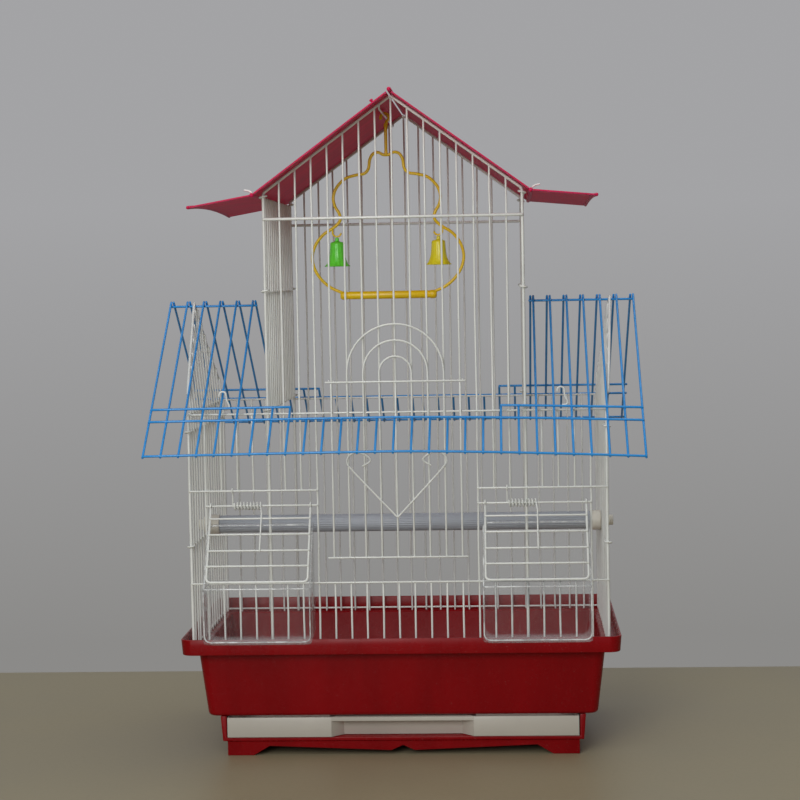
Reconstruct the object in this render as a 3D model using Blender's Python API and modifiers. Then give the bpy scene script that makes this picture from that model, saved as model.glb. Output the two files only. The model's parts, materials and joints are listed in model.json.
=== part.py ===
"""Folding wire bird cage: a house with a tower, two hinged blue wire roofs, a
hinged crimson roof on the tower, a sliding door, two feeders, a perch, a swing
with bells, and a red tub on a foot frame with a pull-out tray.

Metres, +Z up. The origin is on the floor under the middle of the cage, the
front is towards -Y, and every piece is its own object.
"""

import math

import bmesh
import bpy
from mathutils import Matrix, Vector

# Wires
WIRE = 0.0010            # radius of the white bars
POST = 0.0015            # radius of the corner posts
FRAME = 0.0016           # radius of the bent wires over the gables
BLUE = 0.0012            # radius of the blue bars
BITE = 0.64              # how deep welded bars sit in each other, as a share of both radii
GAP = 0.0003             # between pieces that touch
RUN = 0.0006             # between pieces that turn or slide on each other
OVERSHOOT = 0.0009       # of a bar past the rail that it is welded to

# House and tower, all in real sizes
PITCH = 0.016            # between the front bars
HOUSE_BARS = 13          # pitches from the middle to a corner post of the house
TOWER_BARS = 8           # pitches from the middle to a tower post
DOOR_BARS = 4            # pitches from the middle to the outer bar of the door
FEED_IN, FEED_OUT = 5, 12  # bars on either side of a feeder opening
HALF_DEPTH = 0.125       # from the middle to the front panel
SIDE_SPACES = 15         # spaces between the bars of a side
Z_LEDGE = 0.1090         # the tub's ledge, on which the panels stand
Z_SILL = 0.178
Z_FEED_ROD = 0.2562
Z_FEED_RAIL = 0.2712
Z_SHOULDER = 0.348
Z_TOWER_RAIL = 0.541
Z_EAVE = 0.567
Z_APEX = 0.664
SIDE_RAILS = (0.2147, 0.330)
TOWER_SIDE_RAILS = (0.372, 0.469, 0.552)

# Blue roofs
BLUE_SPACES = 28
BLUE_PITCH = 0.01736
Z_RIDGE = 0.4545
EAVE_OUT = 0.190         # from the ridge to the eave, level
EAVE_DROP = 0.1445
BAND_OUT = (0.1380, 0.1525)
RIDGE_FULL = (6, 7)      # bars that reach the ridge at the left and at the right
BAND_FULL = (9, 9)       # bars that reach at least the upper band
TIP = 0.004              # of a bar past the ridge

# Crimson roof
ROOF_T = 0.0016
ROOF_HALF = 0.150
ROD = 0.0022
BEND_X = 0.1365
FLARE = 0.064
FLARE_DROP = {"left": math.radians(9.8), "right": math.radians(5.5)}

# Door
DOOR_Z = (0.2035, 0.3785)
ARCH_UP = 0.009          # from the upper rail to the arches' centre
DOOR_OVERHANG = 0.006    # of the door's rails past its outer bars
HEART = ((0.0, 0.244), (0.0172, 0.2618), (0.0337, 0.2792), (0.0455, 0.2922), (0.0495, 0.2985),
         (0.0475, 0.305), (0.041, 0.3085), (0.033, 0.307), (0.026, 0.3005), (0.0345, 0.2945))

# Feeders
FEEDER_X = 0.1370
CUP_HALF = 0.053
CUP_WALL = 0.0016
CUP_PLAY = 0.0040        # from the front panel to the cup's back
CUP_REACH = 0.0550       # from the front panel to the cup's front
CUP_DROP = 0.0542        # from the sill down to the cup's foot
CUP_STEP = 0.0030        # from the sill up to the cup's shelf
CUP_RISE = 0.0605        # from the sill up to the top of its hood
CUP_NOSE = 0.009         # round below its front
CUP_MOUTH = 0.010        # depth of its way out to the birds
CUP_ROUND = 0.009
LIP_SIDE = 0.0045        # from an opening's post to the end of the lip
LIP_DEPTH = 0.003
LIP_T = 0.0012
FLAP_HALF = 0.050
FLAP_LENGTH = 0.0838
FLAP_LEAN = math.radians(33.3)
FLAP_BARS = (0.20, 0.40, 0.60, 0.80)  # shares of the flap's length
SPRING_WIRE = 0.0007
SPRING_TURNS = 8
SPRING_PITCH = 0.0033
SPRING_POINTS = 8
SPRING_PLAY = 0.0004

# Perch
PERCH_R = 0.0092
PERCH_Z = 0.223
CAP_R = 0.0105
CAP_LENGTH = 0.010
FLANGE_R = 0.0092
FLANGE_LENGTH = 0.0018
NUB_R = 0.0055
NUB_LENGTH = 0.0085

# Swing, as half widths and heights from its bar to its stem
SWING_AT = (-0.0108, -0.030)
SWING_WIRE = 0.0016
RAIL_X = -0.0115
RAIL_Z = 0.6475
SWING_BAR = (0.050, 0.0045, 0.4635)   # half length, radius, height
SWING_HALF = ((0.046, 0.4655), (0.060, 0.472), (0.070, 0.481), (0.0765, 0.492), (0.0785, 0.504),
              (0.075, 0.516), (0.067, 0.5265), (0.057, 0.533), (0.051, 0.538), (0.0485, 0.543),
              (0.050, 0.549), (0.054, 0.556), (0.0555, 0.565), (0.052, 0.575), (0.043, 0.584),
              (0.032, 0.5875), (0.023, 0.589), (0.0185, 0.594), (0.017, 0.603), (0.0135, 0.609),
              (0.008, 0.6105), (0.003, 0.608))
HOOK_R = 0.0042
BELL_X = 0.0525
BELL_PIVOT = 0.5245
BELL_HOOK = 0.0010
BELL_HOOK_R = 0.0045
BELL_HOOK_FOOT = (0.006, 0.008)      # from the bell's pivot out and up to the frame
BELL_R = (0.0068, 0.0135)
BELL_H = 0.0255
BELL_WALL = 0.0012
STUD_R = 0.002
STUD_H = 0.004

# Tub, foot frame and tray
TUB_WALL = 0.002
RIM_MARGIN = 0.0123      # from a panel to the outside of the rim
RIM_H = 0.0142
TUB_INSET = 0.0036       # from a panel to the outside of the tub's body at its top
TUB_TAPER = 0.0072
Z_TUB = 0.0410
TUB_ROUND = 0.008
FRAME_HALF = (0.1846, 0.112)
HOLE_MARGIN = (0.0196, 0.022)        # from the frame's outside to the hole in the tub
GRILLE_MARGIN = (0.0026, 0.011)
FRAME_WALL = 0.0060
FRAME_FLOOR = (0.0150, 0.0187)
FRAME_TAPER = 0.0020
FOOT_STEP = (0.0065, 0.0012)         # of the feet's block, in from the frame above it
LEDGE = 0.022            # width of the ledge that carries the tray
TRAY_PLAY = 0.0010
TRAY_WALL = 0.0016
TRAY_TOP = 0.0392
GRIP = (0.060, 0.072, 0.0125)        # half width, half width at the mouth, depth
LIP_H = 0.004
FOOT_CUT = ((-0.155, -0.002), (-0.1355, 0.0095), (-0.012, 0.0045), (-0.006, 0.0070),
            (0.0, 0.0098), (0.006, 0.0070), (0.012, 0.0045), (0.1355, 0.0095), (0.155, -0.002))
GRILLE_SPACES = (14, 2)

HOUSE_HALF = HOUSE_BARS * PITCH
TOWER_HALF = TOWER_BARS * PITCH
GABLE_SLOPE = (Z_APEX - Z_EAVE) / TOWER_HALF
BLUE_SLOPE = EAVE_DROP / EAVE_OUT
DOOR_BAR = DOOR_BARS * PITCH + DOOR_OVERHANG     # half the length of the door's rails
RAIL_OFF = BITE * (WIRE + POST)      # from a bar's axis to the axis of the rail on it
CUP_BACK = HALF_DEPTH + CUP_PLAY
CUP_FRONT = HALF_DEPTH + CUP_REACH
CUP_FOOT = Z_SILL - CUP_DROP
CUP_SHELF = Z_SILL + CUP_STEP
CUP_TOP = Z_SILL + CUP_RISE
HOLE_HALF = tuple(half - margin for half, margin in zip(FRAME_HALF, HOLE_MARGIN))
GRILLE_HALF = tuple(half - margin for half, margin in zip(FRAME_HALF, GRILLE_MARGIN))
RING_WIRE = 0.0008


def start_clean():
    for item in list(bpy.data.objects):
        bpy.data.objects.remove(item, do_unlink=True)


def make_collection(name):
    found = bpy.data.collections.get(name) or bpy.data.collections.new(name)
    if name not in bpy.context.scene.collection.children:
        bpy.context.scene.collection.children.link(found)
    return found


def make_material(name, colour, roughness, metallic=0.0, alpha=1.0):
    material = bpy.data.materials.new(name)
    material.use_nodes = True
    shader = material.node_tree.nodes["Principled BSDF"]
    shader.inputs["Base Color"].default_value = (*colour, 1.0)
    shader.inputs["Roughness"].default_value = roughness
    shader.inputs["Metallic"].default_value = metallic
    shader.inputs["Alpha"].default_value = alpha
    return material


def make_object(name, bm, material=None, smooth=False):
    """An object from a bmesh: a part if it has a material, otherwise a cutter or guide."""
    bmesh.ops.recalc_face_normals(bm, faces=bm.faces)
    mesh = bpy.data.meshes.new(name)
    bm.to_mesh(mesh)
    bm.free()
    item = bpy.data.objects.new(name, mesh)
    if material:
        mesh.materials.append(material)
        PARTS.objects.link(item)
    else:
        item.hide_render = True
        item.display_type = "WIRE"
        CUTTERS.objects.link(item)
    if smooth:
        mesh.shade_smooth()
        mesh.set_sharp_from_angle(angle=math.radians(40))
    return item


def boolean(item, other, operation):
    modifier = item.modifiers.new(operation.lower() + " " + other.name, "BOOLEAN")
    modifier.operation = operation
    modifier.object = other
    return item


def add_bar(bm, start, end, radius, face, sides=4):
    """A straight bar. With four sides, one edge looks along face."""
    start, end, face = Vector(start), Vector(end), Vector(face)
    along = (end - start).normalized()
    across = along.cross(face).normalized()
    face = across.cross(along).normalized()
    turn = Matrix((face, across, along)).transposed().to_4x4()
    place = Matrix.Translation((start + end) / 2) @ turn
    bmesh.ops.create_cone(bm, cap_ends=True, segments=sides, radius1=radius, radius2=radius,
                          depth=(end - start).length, matrix=place)


def add_box(bm, low, high, rounded=0.0, segments=3):
    """A box between two corners, with its upright edges rounded."""
    low, high = Vector(low), Vector(high)
    place = Matrix.Translation((low + high) / 2) @ Matrix.Diagonal((*(high - low), 1.0))
    verts = bmesh.ops.create_cube(bm, size=1.0, matrix=place)["verts"]
    if rounded:
        edges = {e for v in verts for e in v.link_edges
                 if abs(e.verts[0].co.z - e.verts[1].co.z) > 1e-6}
        bmesh.ops.bevel(bm, geom=list(edges), offset=rounded, segments=segments,
                        affect="EDGES", profile=0.5)


def add_tapered_box(bm, half_top, half_bottom, low, high, rounded):
    """A box round the Z axis that narrows downwards."""
    add_box(bm, (-half_top[0], -half_top[1], low), (half_top[0], half_top[1], high), rounded)
    for vert in bm.verts:
        if vert.co.z < (low + high) / 2:
            vert.co.x *= half_bottom[0] / half_top[0]
            vert.co.y *= half_bottom[1] / half_top[1]


def curve_mesh(points, radius, resolution=0, closed=False):
    """The closed mesh of a wire along the points."""
    curve = bpy.data.curves.new("wire", "CURVE")
    curve.dimensions = "3D"
    curve.bevel_depth = radius
    curve.bevel_resolution = resolution
    curve.use_fill_caps = not closed
    spline = curve.splines.new("POLY")
    spline.points.add(len(points) - 1)
    spline.use_cyclic_u = closed
    for point, place in zip(spline.points, points):
        point.co = (*place, 1.0)
    guide = bpy.data.objects.new("wire", curve)
    bpy.context.scene.collection.objects.link(guide)
    bpy.context.view_layer.update()
    depsgraph = bpy.context.evaluated_depsgraph_get()
    mesh = bpy.data.meshes.new_from_object(guide.evaluated_get(depsgraph))
    bpy.data.objects.remove(guide, do_unlink=True)
    bpy.data.curves.remove(curve)
    return mesh


def add_wire(bm, points, radius, resolution=0, closed=False):
    """A bent wire along the points, added as one closed body."""
    mesh = curve_mesh(points, radius, resolution, closed)
    bm.from_mesh(mesh)
    bpy.data.meshes.remove(mesh)
    bmesh.ops.remove_doubles(bm, verts=bm.verts, dist=1e-6)


def add_ring(bm, centre, axis, radius, wire=RING_WIRE, segments=8):
    """A closed ring round an axis."""
    axis = Vector(axis).normalized()
    turn = axis.to_track_quat("Z", "Y").to_matrix()
    points = []
    for step in range(segments):
        angle = 2 * math.pi * (step + 0.5) / segments
        flat = Vector((math.cos(angle), math.sin(angle), 0.0)) * radius
        points.append(Vector(centre) + turn @ flat)
    add_wire(bm, points, wire, closed=True)


def add_prism(bm, outline, thickness_from, thickness_to, axis="X"):
    """A flat outline drawn out along X, Y or Z."""
    def place(point, along):
        first, second = point
        return {"X": (along, first, second), "Y": (first, along, second),
                "Z": (first, second, along)}[axis]
    verts = [bm.verts.new(place(point, thickness_from)) for point in outline]
    face = bm.faces.new(verts)
    drawn = bmesh.ops.extrude_face_region(bm, geom=[face])
    moved = [v for v in drawn["geom"] if isinstance(v, bmesh.types.BMVert)]
    shift = Vector(place((0.0, 0.0), thickness_to - thickness_from))
    bmesh.ops.translate(bm, verts=moved, vec=shift)


def turned(name, profile, place, axis, material, steps=20):
    """A closed turned piece: its profile of radius and height runs from top to bottom."""
    mesh = bpy.data.meshes.new(name)
    mesh.from_pydata([(radius, 0.0, height) for radius, height in profile],
                     [(i, i + 1) for i in range(len(profile) - 1)], [])
    mesh.materials.append(material)
    item = bpy.data.objects.new(name, mesh)
    PARTS.objects.link(item)
    item.location = place
    item.rotation_euler = Vector(axis).to_track_quat("Z", "Y").to_euler()
    screw = item.modifiers.new("turn", "SCREW")
    screw.axis = "Z"
    screw.steps = screw.render_steps = steps
    screw.use_merge_vertices = True
    screw.merge_threshold = 0.00001
    screw.use_smooth_shade = True
    return item


def panel(name, bars, rails, bent, material):
    """One welded grille: a set of bars, a set of rails across them, and bent wires."""
    uprights = bmesh.new()
    for bar in bars:
        add_bar(uprights, *bar)
    item = make_object(name, uprights, material)
    across = bmesh.new()
    for rail in rails:
        add_bar(across, *rail)
    boolean(item, make_object(name + " rails", across), "UNION")
    for index, add in enumerate(bent):
        extra = bmesh.new()
        add(extra)
        boolean(item, make_object(f"{name} bent {index}", extra), "UNION")
    return item


def gable_z(x):
    return Z_APEX - GABLE_SLOPE * abs(x)


def front_spans(index):
    """The heights between which a front bar runs, leaving the openings free."""
    bar = abs(index)
    foot, top = Z_LEDGE + GAP, Z_SHOULDER + OVERSHOOT
    if bar <= TOWER_BARS:
        top = gable_z(index * PITCH)
    if bar <= DOOR_BARS:
        return [(foot, Z_SILL + OVERSHOOT), (Z_SHOULDER - OVERSHOOT, top)]
    if FEED_IN < bar < FEED_OUT:
        return [(foot, Z_SILL + OVERSHOOT), (Z_FEED_RAIL - OVERSHOOT, top)]
    return [(foot, top)]


def gable_frame(y):
    """The bent wire over the tower's bars."""
    out = TOWER_HALF + OVERSHOOT
    return ((-out, y, gable_z(out)), (0.0, y, Z_APEX), (out, y, gable_z(out)))


def make_front(material):
    y, rail_y = -HALF_DEPTH, -HALF_DEPTH - RAIL_OFF
    face = (0, 1, 0)
    bars, rails = [], []
    for index in range(-HOUSE_BARS, HOUSE_BARS + 1):
        thick = abs(index) in (TOWER_BARS, HOUSE_BARS)
        radius = POST if thick else WIRE
        for low, high in front_spans(index):
            x = index * PITCH
            bars.append(((x, y, low), (x, y, high), radius, face))
    out = HOUSE_HALF + OVERSHOOT
    for z in (Z_LEDGE + 0.003, Z_SILL, Z_SHOULDER):
        rails.append(((-out, rail_y, z), (out, rail_y, z), WIRE, face))
    tower = TOWER_HALF + OVERSHOOT
    tower_y = -HALF_DEPTH - 2 * BITE * POST
    rails.append(((-tower, tower_y, Z_TOWER_RAIL), (tower, tower_y, Z_TOWER_RAIL), POST, face))
    for side in (-1, 1):
        inner = side * (FEED_IN * PITCH - OVERSHOOT)
        outer = side * (HOUSE_HALF + OVERSHOOT)
        rails.append(((inner, rail_y, Z_FEED_RAIL), (outer, rail_y, Z_FEED_RAIL), WIRE, face))
        outer = side * (FEED_OUT * PITCH + OVERSHOOT)
        rails.append(((inner, rail_y, Z_FEED_ROD), (outer, rail_y, Z_FEED_ROD), WIRE, face))
    frame = [lambda bm: add_wire(bm, gable_frame(y), FRAME)]
    return panel("front_panel", bars, rails, frame, material)


def make_back(material):
    y, rail_y = HALF_DEPTH, HALF_DEPTH + RAIL_OFF
    face = (0, 1, 0)
    bars, rails = [], []
    for index in range(-HOUSE_BARS, HOUSE_BARS + 1):
        thick = abs(index) in (TOWER_BARS, HOUSE_BARS)
        x = index * PITCH
        top = gable_z(x) if abs(index) <= TOWER_BARS else Z_SHOULDER + OVERSHOOT
        bars.append(((x, y, Z_LEDGE + GAP), (x, y, top), POST if thick else WIRE, face))
    out, tower = HOUSE_HALF + OVERSHOOT, TOWER_HALF + OVERSHOOT
    for z in (Z_LEDGE + 0.003, Z_SHOULDER):
        rails.append(((-out, rail_y, z), (out, rail_y, z), WIRE, face))
    tower_y = HALF_DEPTH + 2 * BITE * POST
    rails.append(((-tower, tower_y, Z_TOWER_RAIL), (tower, tower_y, Z_TOWER_RAIL), POST, face))
    frame = [lambda bm: add_wire(bm, gable_frame(y), FRAME)]
    return panel("back_panel", bars, rails, frame, material)


def side_ys():
    step = 2 * HALF_DEPTH / SIDE_SPACES
    return [-HALF_DEPTH + step * k for k in range(1, SIDE_SPACES)]


def eye_radius():
    """The radius of a hinge eye that turns on a corner post."""
    return (POST + RUN + RING_WIRE) / math.cos(math.pi / 8)


def add_eyes(bm, x, heights):
    for z in heights:
        for y in (-HALF_DEPTH, HALF_DEPTH):
            add_ring(bm, (x, y, z), (0, 0, 1), eye_radius())


def side_rail(x, rail_x, z, reach):
    return ((rail_x, -reach, z), (rail_x, reach, z), WIRE, (1, 0, 0))


def seat_z(y):
    """The height of a side gable's frame, which carries the blue roofs and their ridge."""
    drop = (BLUE + GAP) * math.hypot(1, BLUE_SLOPE) + FRAME
    return Z_RIDGE - drop - BLUE_SLOPE * abs(y)


def make_side(name, sign, material):
    x, rail_x = sign * HOUSE_HALF, sign * (HOUSE_HALF + RAIL_OFF)
    ys = side_ys()
    bars = [((x, y, Z_LEDGE + GAP), (x, y, seat_z(y)), WIRE, (1, 0, 0)) for y in ys]
    end = ys[-1] + OVERSHOOT
    reach = HALF_DEPTH - eye_radius()
    rails = [side_rail(x, rail_x, z, end) for z in (Z_LEDGE + 0.003, Z_SHOULDER)]
    rails += [side_rail(x, rail_x, z, reach) for z in SIDE_RAILS]

    def frame(bm):
        points = ((x, -end, seat_z(end)), (x, 0.0, seat_z(0.0)), (x, end, seat_z(end)))
        add_wire(bm, points, FRAME)

    return panel(name, bars, rails, [frame, lambda bm: add_eyes(bm, x, SIDE_RAILS)], material)


def make_tower_side(name, sign, material):
    x, rail_x = sign * TOWER_HALF, sign * (TOWER_HALF + RAIL_OFF)
    low, high = Z_SHOULDER + 0.004, TOWER_SIDE_RAILS[-1] + OVERSHOOT
    ys = side_ys()
    bars = [((x, y, low), (x, y, high), WIRE, (1, 0, 0)) for y in ys]
    reach = HALF_DEPTH - eye_radius()
    rails = [side_rail(x, rail_x, z, reach) for z in TOWER_SIDE_RAILS]
    return panel(name, bars, rails, [lambda bm: add_eyes(bm, x, TOWER_SIDE_RAILS)], material)


def roof_point(out, lift, sign):
    """A point on a blue roof: out from the ridge, and lifted square to the slope."""
    length = math.hypot(1, BLUE_SLOPE)
    return (sign * (out + lift * BLUE_SLOPE / length),
            Z_RIDGE - BLUE_SLOPE * out + lift / length)


def make_blue_roof(name, sign, material):
    """A blue roof half: bars down from the ridge, with cross bars on them. sign is -1 in front."""
    half = BLUE_SPACES // 2
    lift = 2 * BLUE + GAP
    shift = 0.0 if sign < 0 else 2 * BLUE + RUN
    face = (0, sign * BLUE_SLOPE, 1)
    bars = []
    for index in range(BLUE_SPACES + 1):
        x = (index - half) * BLUE_PITCH + (shift if index <= half else -shift)
        ends = BLUE_SPACES - index
        if index < RIDGE_FULL[0] or ends < RIDGE_FULL[1]:
            start = -TIP
        elif index < BAND_FULL[0] or ends < BAND_FULL[1]:
            start = BAND_OUT[0] - OVERSHOOT
        else:
            start = BAND_OUT[1] - OVERSHOOT
        y0, z0 = roof_point(start, lift, sign)
        y1, z1 = roof_point(EAVE_OUT + OVERSHOOT, lift, sign)
        bars.append(((x, y0, z0), (x, y1, z1), BLUE, face))
    out = half * BLUE_PITCH + OVERSHOOT
    over = lift + 2 * BITE * BLUE
    rails = []
    for place in (BAND_OUT[1], EAVE_OUT):
        y, z = roof_point(place, over, sign)
        rails.append(((-out, y, z), (out, y, z), BLUE, face))
    y, z = roof_point(BAND_OUT[0], over, sign)
    for side, count in zip((-1, 1), BAND_FULL):
        inner = side * ((half - count + 1) * BLUE_PITCH - OVERSHOOT - shift)
        rails.append(((side * out, y, z), (inner, y, z), BLUE, face))
    return panel(name, bars, rails, [], material)


def make_ridge(name, side, count, material):
    """A ridge bar of the blue roofs, on the gable of one side."""
    half = BLUE_SPACES // 2
    outer = side * (half * BLUE_PITCH + OVERSHOOT)
    inner = side * ((half - count + 1) * BLUE_PITCH - 0.0050)
    bm = bmesh.new()
    add_bar(bm, (outer, 0, Z_RIDGE), (inner, 0, Z_RIDGE), BLUE, (0, 0, 1), sides=8)
    return make_object(name, bm, material)


def rod_z():
    """The height of the crimson roof's hinge rod, on the apex of both gables."""
    return Z_APEX + FRAME * math.hypot(1, GABLE_SLOPE) + GAP + ROD


def roof_line(x):
    """The height of the crimson roof's middle surface."""
    under = (FRAME + GAP + ROOF_T / 2) * math.hypot(1, GABLE_SLOPE)
    return Z_APEX + under - GABLE_SLOPE * abs(x)


def plate(bm, start, end, thickness):
    """A flat plate between two lines that run along Y, given as x and z."""
    start, end = Vector(start), Vector(end)
    along = (end - start).normalized()
    off = Vector((-along.y, along.x)) * thickness / 2
    outline = [start + off, end + off, end - off, start - off]
    add_prism(bm, [tuple(p) for p in outline], -ROOF_HALF, ROOF_HALF, axis="Y")


def make_slope(name, sign, material):
    first = ROD + GAP
    last = BEND_X - (ROD + GAP) / math.hypot(1, GABLE_SLOPE)
    bm = bmesh.new()
    plate(bm, (sign * first, roof_line(first)), (sign * last, roof_line(last)), ROOF_T)
    return make_object(name, bm, material)


def make_flare(name, sign, drop, material):
    """An eave flap, with a bead at its hinge and another at its outer edge."""
    hinge = Vector((sign * BEND_X, roof_line(BEND_X)))
    along = Vector((sign * math.cos(drop), -math.sin(drop)))
    outer = hinge + along * FLARE
    bm = bmesh.new()
    plate(bm, tuple(hinge), tuple(outer), ROOF_T)
    item = make_object(name, bm, material)
    beads = bmesh.new()
    for spot, radius in ((hinge, ROD), (outer, ROD * 0.8)):
        add_bar(beads, (spot.x, -ROOF_HALF - 0.0005, spot.y), (spot.x, ROOF_HALF + 0.0005, spot.y),
                radius, (0, 0, 1), sides=10)
    return boolean(item, make_object(name + " beads", beads), "UNION")


def make_roof_rod(material):
    bm = bmesh.new()
    add_bar(bm, (0, -ROOF_HALF, rod_z()), (0, ROOF_HALF, rod_z()), ROD, (0, 0, 1), sides=10)
    return make_object("roof_hinge_rod", bm, material, smooth=True)


def make_swing_rail(material):
    """The wire under the roof that carries the swing, turned up at both gable frames."""
    bm = bmesh.new()
    reach = HALF_DEPTH - FRAME - GAP - WIRE
    up = gable_z(RAIL_X) + 0.0005
    add_wire(bm, [(RAIL_X, -reach, up), (RAIL_X, -reach, RAIL_Z), (RAIL_X, reach, RAIL_Z),
                  (RAIL_X, reach, up)], WIRE, resolution=1)
    return make_object("swing_rail", bm, material)


def door_plane():
    return -HALF_DEPTH - RAIL_OFF - WIRE - RUN - WIRE


def arch_points(radius, y):
    """A nested arch of the door: two legs and a half circle on the upper rail."""
    low, spring = DOOR_Z[0] - OVERSHOOT, DOOR_Z[1] + ARCH_UP
    points = [(-radius, y, low)]
    steps = 12
    for step in range(steps + 1):
        angle = math.pi * (1 - step / steps)
        points.append((radius * math.cos(angle), y, spring + radius * math.sin(angle)))
    points.append((radius, y, low))
    return points


def make_door(material):
    y = door_plane()
    rail_y = y - 2 * BITE * WIRE
    face = (0, 1, 0)
    low, high = DOOR_Z
    bars = [((i * PITCH, y, low - OVERSHOOT), (i * PITCH, y, high + OVERSHOOT), WIRE,
             (0.25, 1, 0)) for i in (-DOOR_BARS, 0, DOOR_BARS)]
    rails = [((-DOOR_BAR, rail_y, z), (DOOR_BAR, rail_y, z), WIRE, face) for z in DOOR_Z]

    def arches(bm):
        for index in range(1, DOOR_BARS):
            add_wire(bm, arch_points(index * PITCH, y), WIRE)

    def heart(bm):
        left = [(-x, rail_y, z) for x, z in reversed(HEART[1:])]
        add_wire(bm, left + [(x, rail_y, z) for x, z in HEART], 0.93 * WIRE)
        bmesh.ops.triangulate(bm, faces=bm.faces)

    def guides(bm):
        """Hooks of the upper rail round two tower bars."""
        for side in (-1, 1):
            x = side * DOOR_BARS * PITCH
            ring = (WIRE + RUN + RING_WIRE) / math.cos(math.pi / 8)
            add_ring(bm, (x, -HALF_DEPTH, high), (0, 0, 1), ring)

    def stubs(bm):
        for side in (-1, 1):
            x = side * DOOR_BARS * PITCH
            reach = -HALF_DEPTH - WIRE - RUN - 0.7 * RING_WIRE
            add_bar(bm, (x, rail_y, high), (x, reach, high), 0.9 * RING_WIRE, (1, 0, 0.35))

    return panel("sliding_door", bars, rails, [arches, heart, guides, stubs], material)


def flap_point(share, lift, side_x):
    """A point on a feeder flap, from its rod at share 0 to its foot at share 1."""
    along = FLAP_LENGTH * share
    y = -HALF_DEPTH - RAIL_OFF - along * math.sin(FLAP_LEAN) - lift * math.cos(FLAP_LEAN)
    z = Z_FEED_ROD - along * math.cos(FLAP_LEAN) + lift * math.sin(FLAP_LEAN)
    return (side_x, y, z)


def make_flap(name, centre, material):
    """A sprung wire flap that holds a feeder cup."""
    ring = (WIRE + RUN + RING_WIRE) / math.cos(math.pi / 8)
    start = ring / FLAP_LENGTH
    corner = 0.94
    left, right = centre - FLAP_HALF, centre + FLAP_HALF
    inset = FLAP_LENGTH * (1 - corner)
    frame = [flap_point(start, 0, left), flap_point(corner, 0, left),
             flap_point(1, 0, left + inset), flap_point(1, 0, right - inset),
             flap_point(corner, 0, right), flap_point(start, 0, right)]
    bm = bmesh.new()
    add_wire(bm, frame, WIRE * 1.2)
    item = make_object(name, bm, material)
    lift = 1.3 * WIRE
    across = bmesh.new()
    for share in FLAP_BARS:
        add_bar(across, flap_point(share, lift, left - OVERSHOOT),
                flap_point(share, lift, right + OVERSHOOT), WIRE,
                (0, math.cos(FLAP_LEAN), -math.sin(FLAP_LEAN)))
    boolean(item, make_object(name + " bars", across), "UNION")
    eyes = bmesh.new()
    for x in (left, right):
        add_ring(eyes, flap_point(0, 0, x), (1, 0, 0), ring)
    return boolean(item, make_object(name + " eyes", eyes), "UNION")


def spring_points(centre):
    """A coil round the feeder rod, with a leg that lies on the flap's middle bar."""
    _, y0, z0 = flap_point(0, 0, 0)
    radius = WIRE + RUN + SPRING_WIRE + SPRING_PLAY
    length = SPRING_TURNS * SPRING_PITCH
    end_turn = math.radians(90) - FLAP_LEAN
    points = []
    count = SPRING_TURNS * SPRING_POINTS
    for step in range(count + 1):
        turn = 2 * math.pi * step / SPRING_POINTS
        x = centre - length + SPRING_PITCH * step / SPRING_POINTS
        angle = turn - end_turn + math.pi
        points.append((x, y0 + radius * math.cos(angle), z0 + radius * math.sin(angle)))
    lift = 1.3 * WIRE + WIRE + GAP + SPRING_WIRE
    for share in (0.12, 0.34, 0.63):
        points.append(flap_point(share, lift, centre + 0.0016))
    return points


def make_spring(name, centre, material):
    points = spring_points(centre)
    gap = least_self_gap(points, SPRING_WIRE)
    print(f"{name}: least gap to itself {gap * 1000:.2f} mm")
    bm = bmesh.new()
    add_wire(bm, points, SPRING_WIRE, resolution=1)
    return make_object(name, bm, material, smooth=True)


def least_self_gap(points, radius):
    """The least gap between stretches of a wire that lie more than a turn apart."""
    points = [Vector(p) for p in points]
    best = math.inf
    for i, first in enumerate(points):
        for second in points[i + SPRING_POINTS // 2:]:
            best = min(best, (first - second).length - 2 * radius)
    return best


def hood_line():
    """The hood's outer face: it lies behind the flap, by the flap's wire and the play."""
    lift = -(1.2 * WIRE + RUN)
    top = flap_point(0, lift, 0)
    foot = flap_point(1, lift, 0)
    return top, foot


def on_hood(z, inset=0.0):
    (_, y0, z0), (_, y1, z1) = hood_line()
    y = y0 + (y1 - y0) * (z0 - z) / (z0 - z1)
    return y + inset / math.cos(FLAP_LEAN)


def cup_outline(wall, back, open_back):
    """The side view of a feeder cup, in y and z, drawn in by a wall."""
    low, front = CUP_FOOT + wall, -CUP_FRONT + wall
    shelf, top = CUP_SHELF - wall, CUP_TOP - wall
    nose = CUP_NOSE
    outline = [(-back - wall, low), (front + nose, low), (front + nose * 0.3, low + nose * 0.3),
               (front, low + nose), (front, shelf), (on_hood(shelf, wall), shelf),
               (on_hood(top, wall), top)]
    if open_back:
        way = -back + CUP_MOUTH
        foot = Z_SILL + WIRE + GAP + LIP_T + CUP_WALL / 2
        outline += [(way, top), (way, foot), (-back - wall, foot)]
    else:
        outline += [(-back, top)]
        outline[0] = (-back, low)
    return outline


def round_foot(bm, radius):
    """Rounds the two edges of a cup's floor that run front to back."""
    low = min(v.co.z for v in bm.verts) + 1e-6
    edges = [e for e in bm.edges if all(v.co.z < low for v in e.verts)
             and abs(e.verts[0].co.x - e.verts[1].co.x) < 1e-6]
    bmesh.ops.bevel(bm, geom=edges, offset=radius, segments=3, affect="EDGES", profile=0.5)


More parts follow.
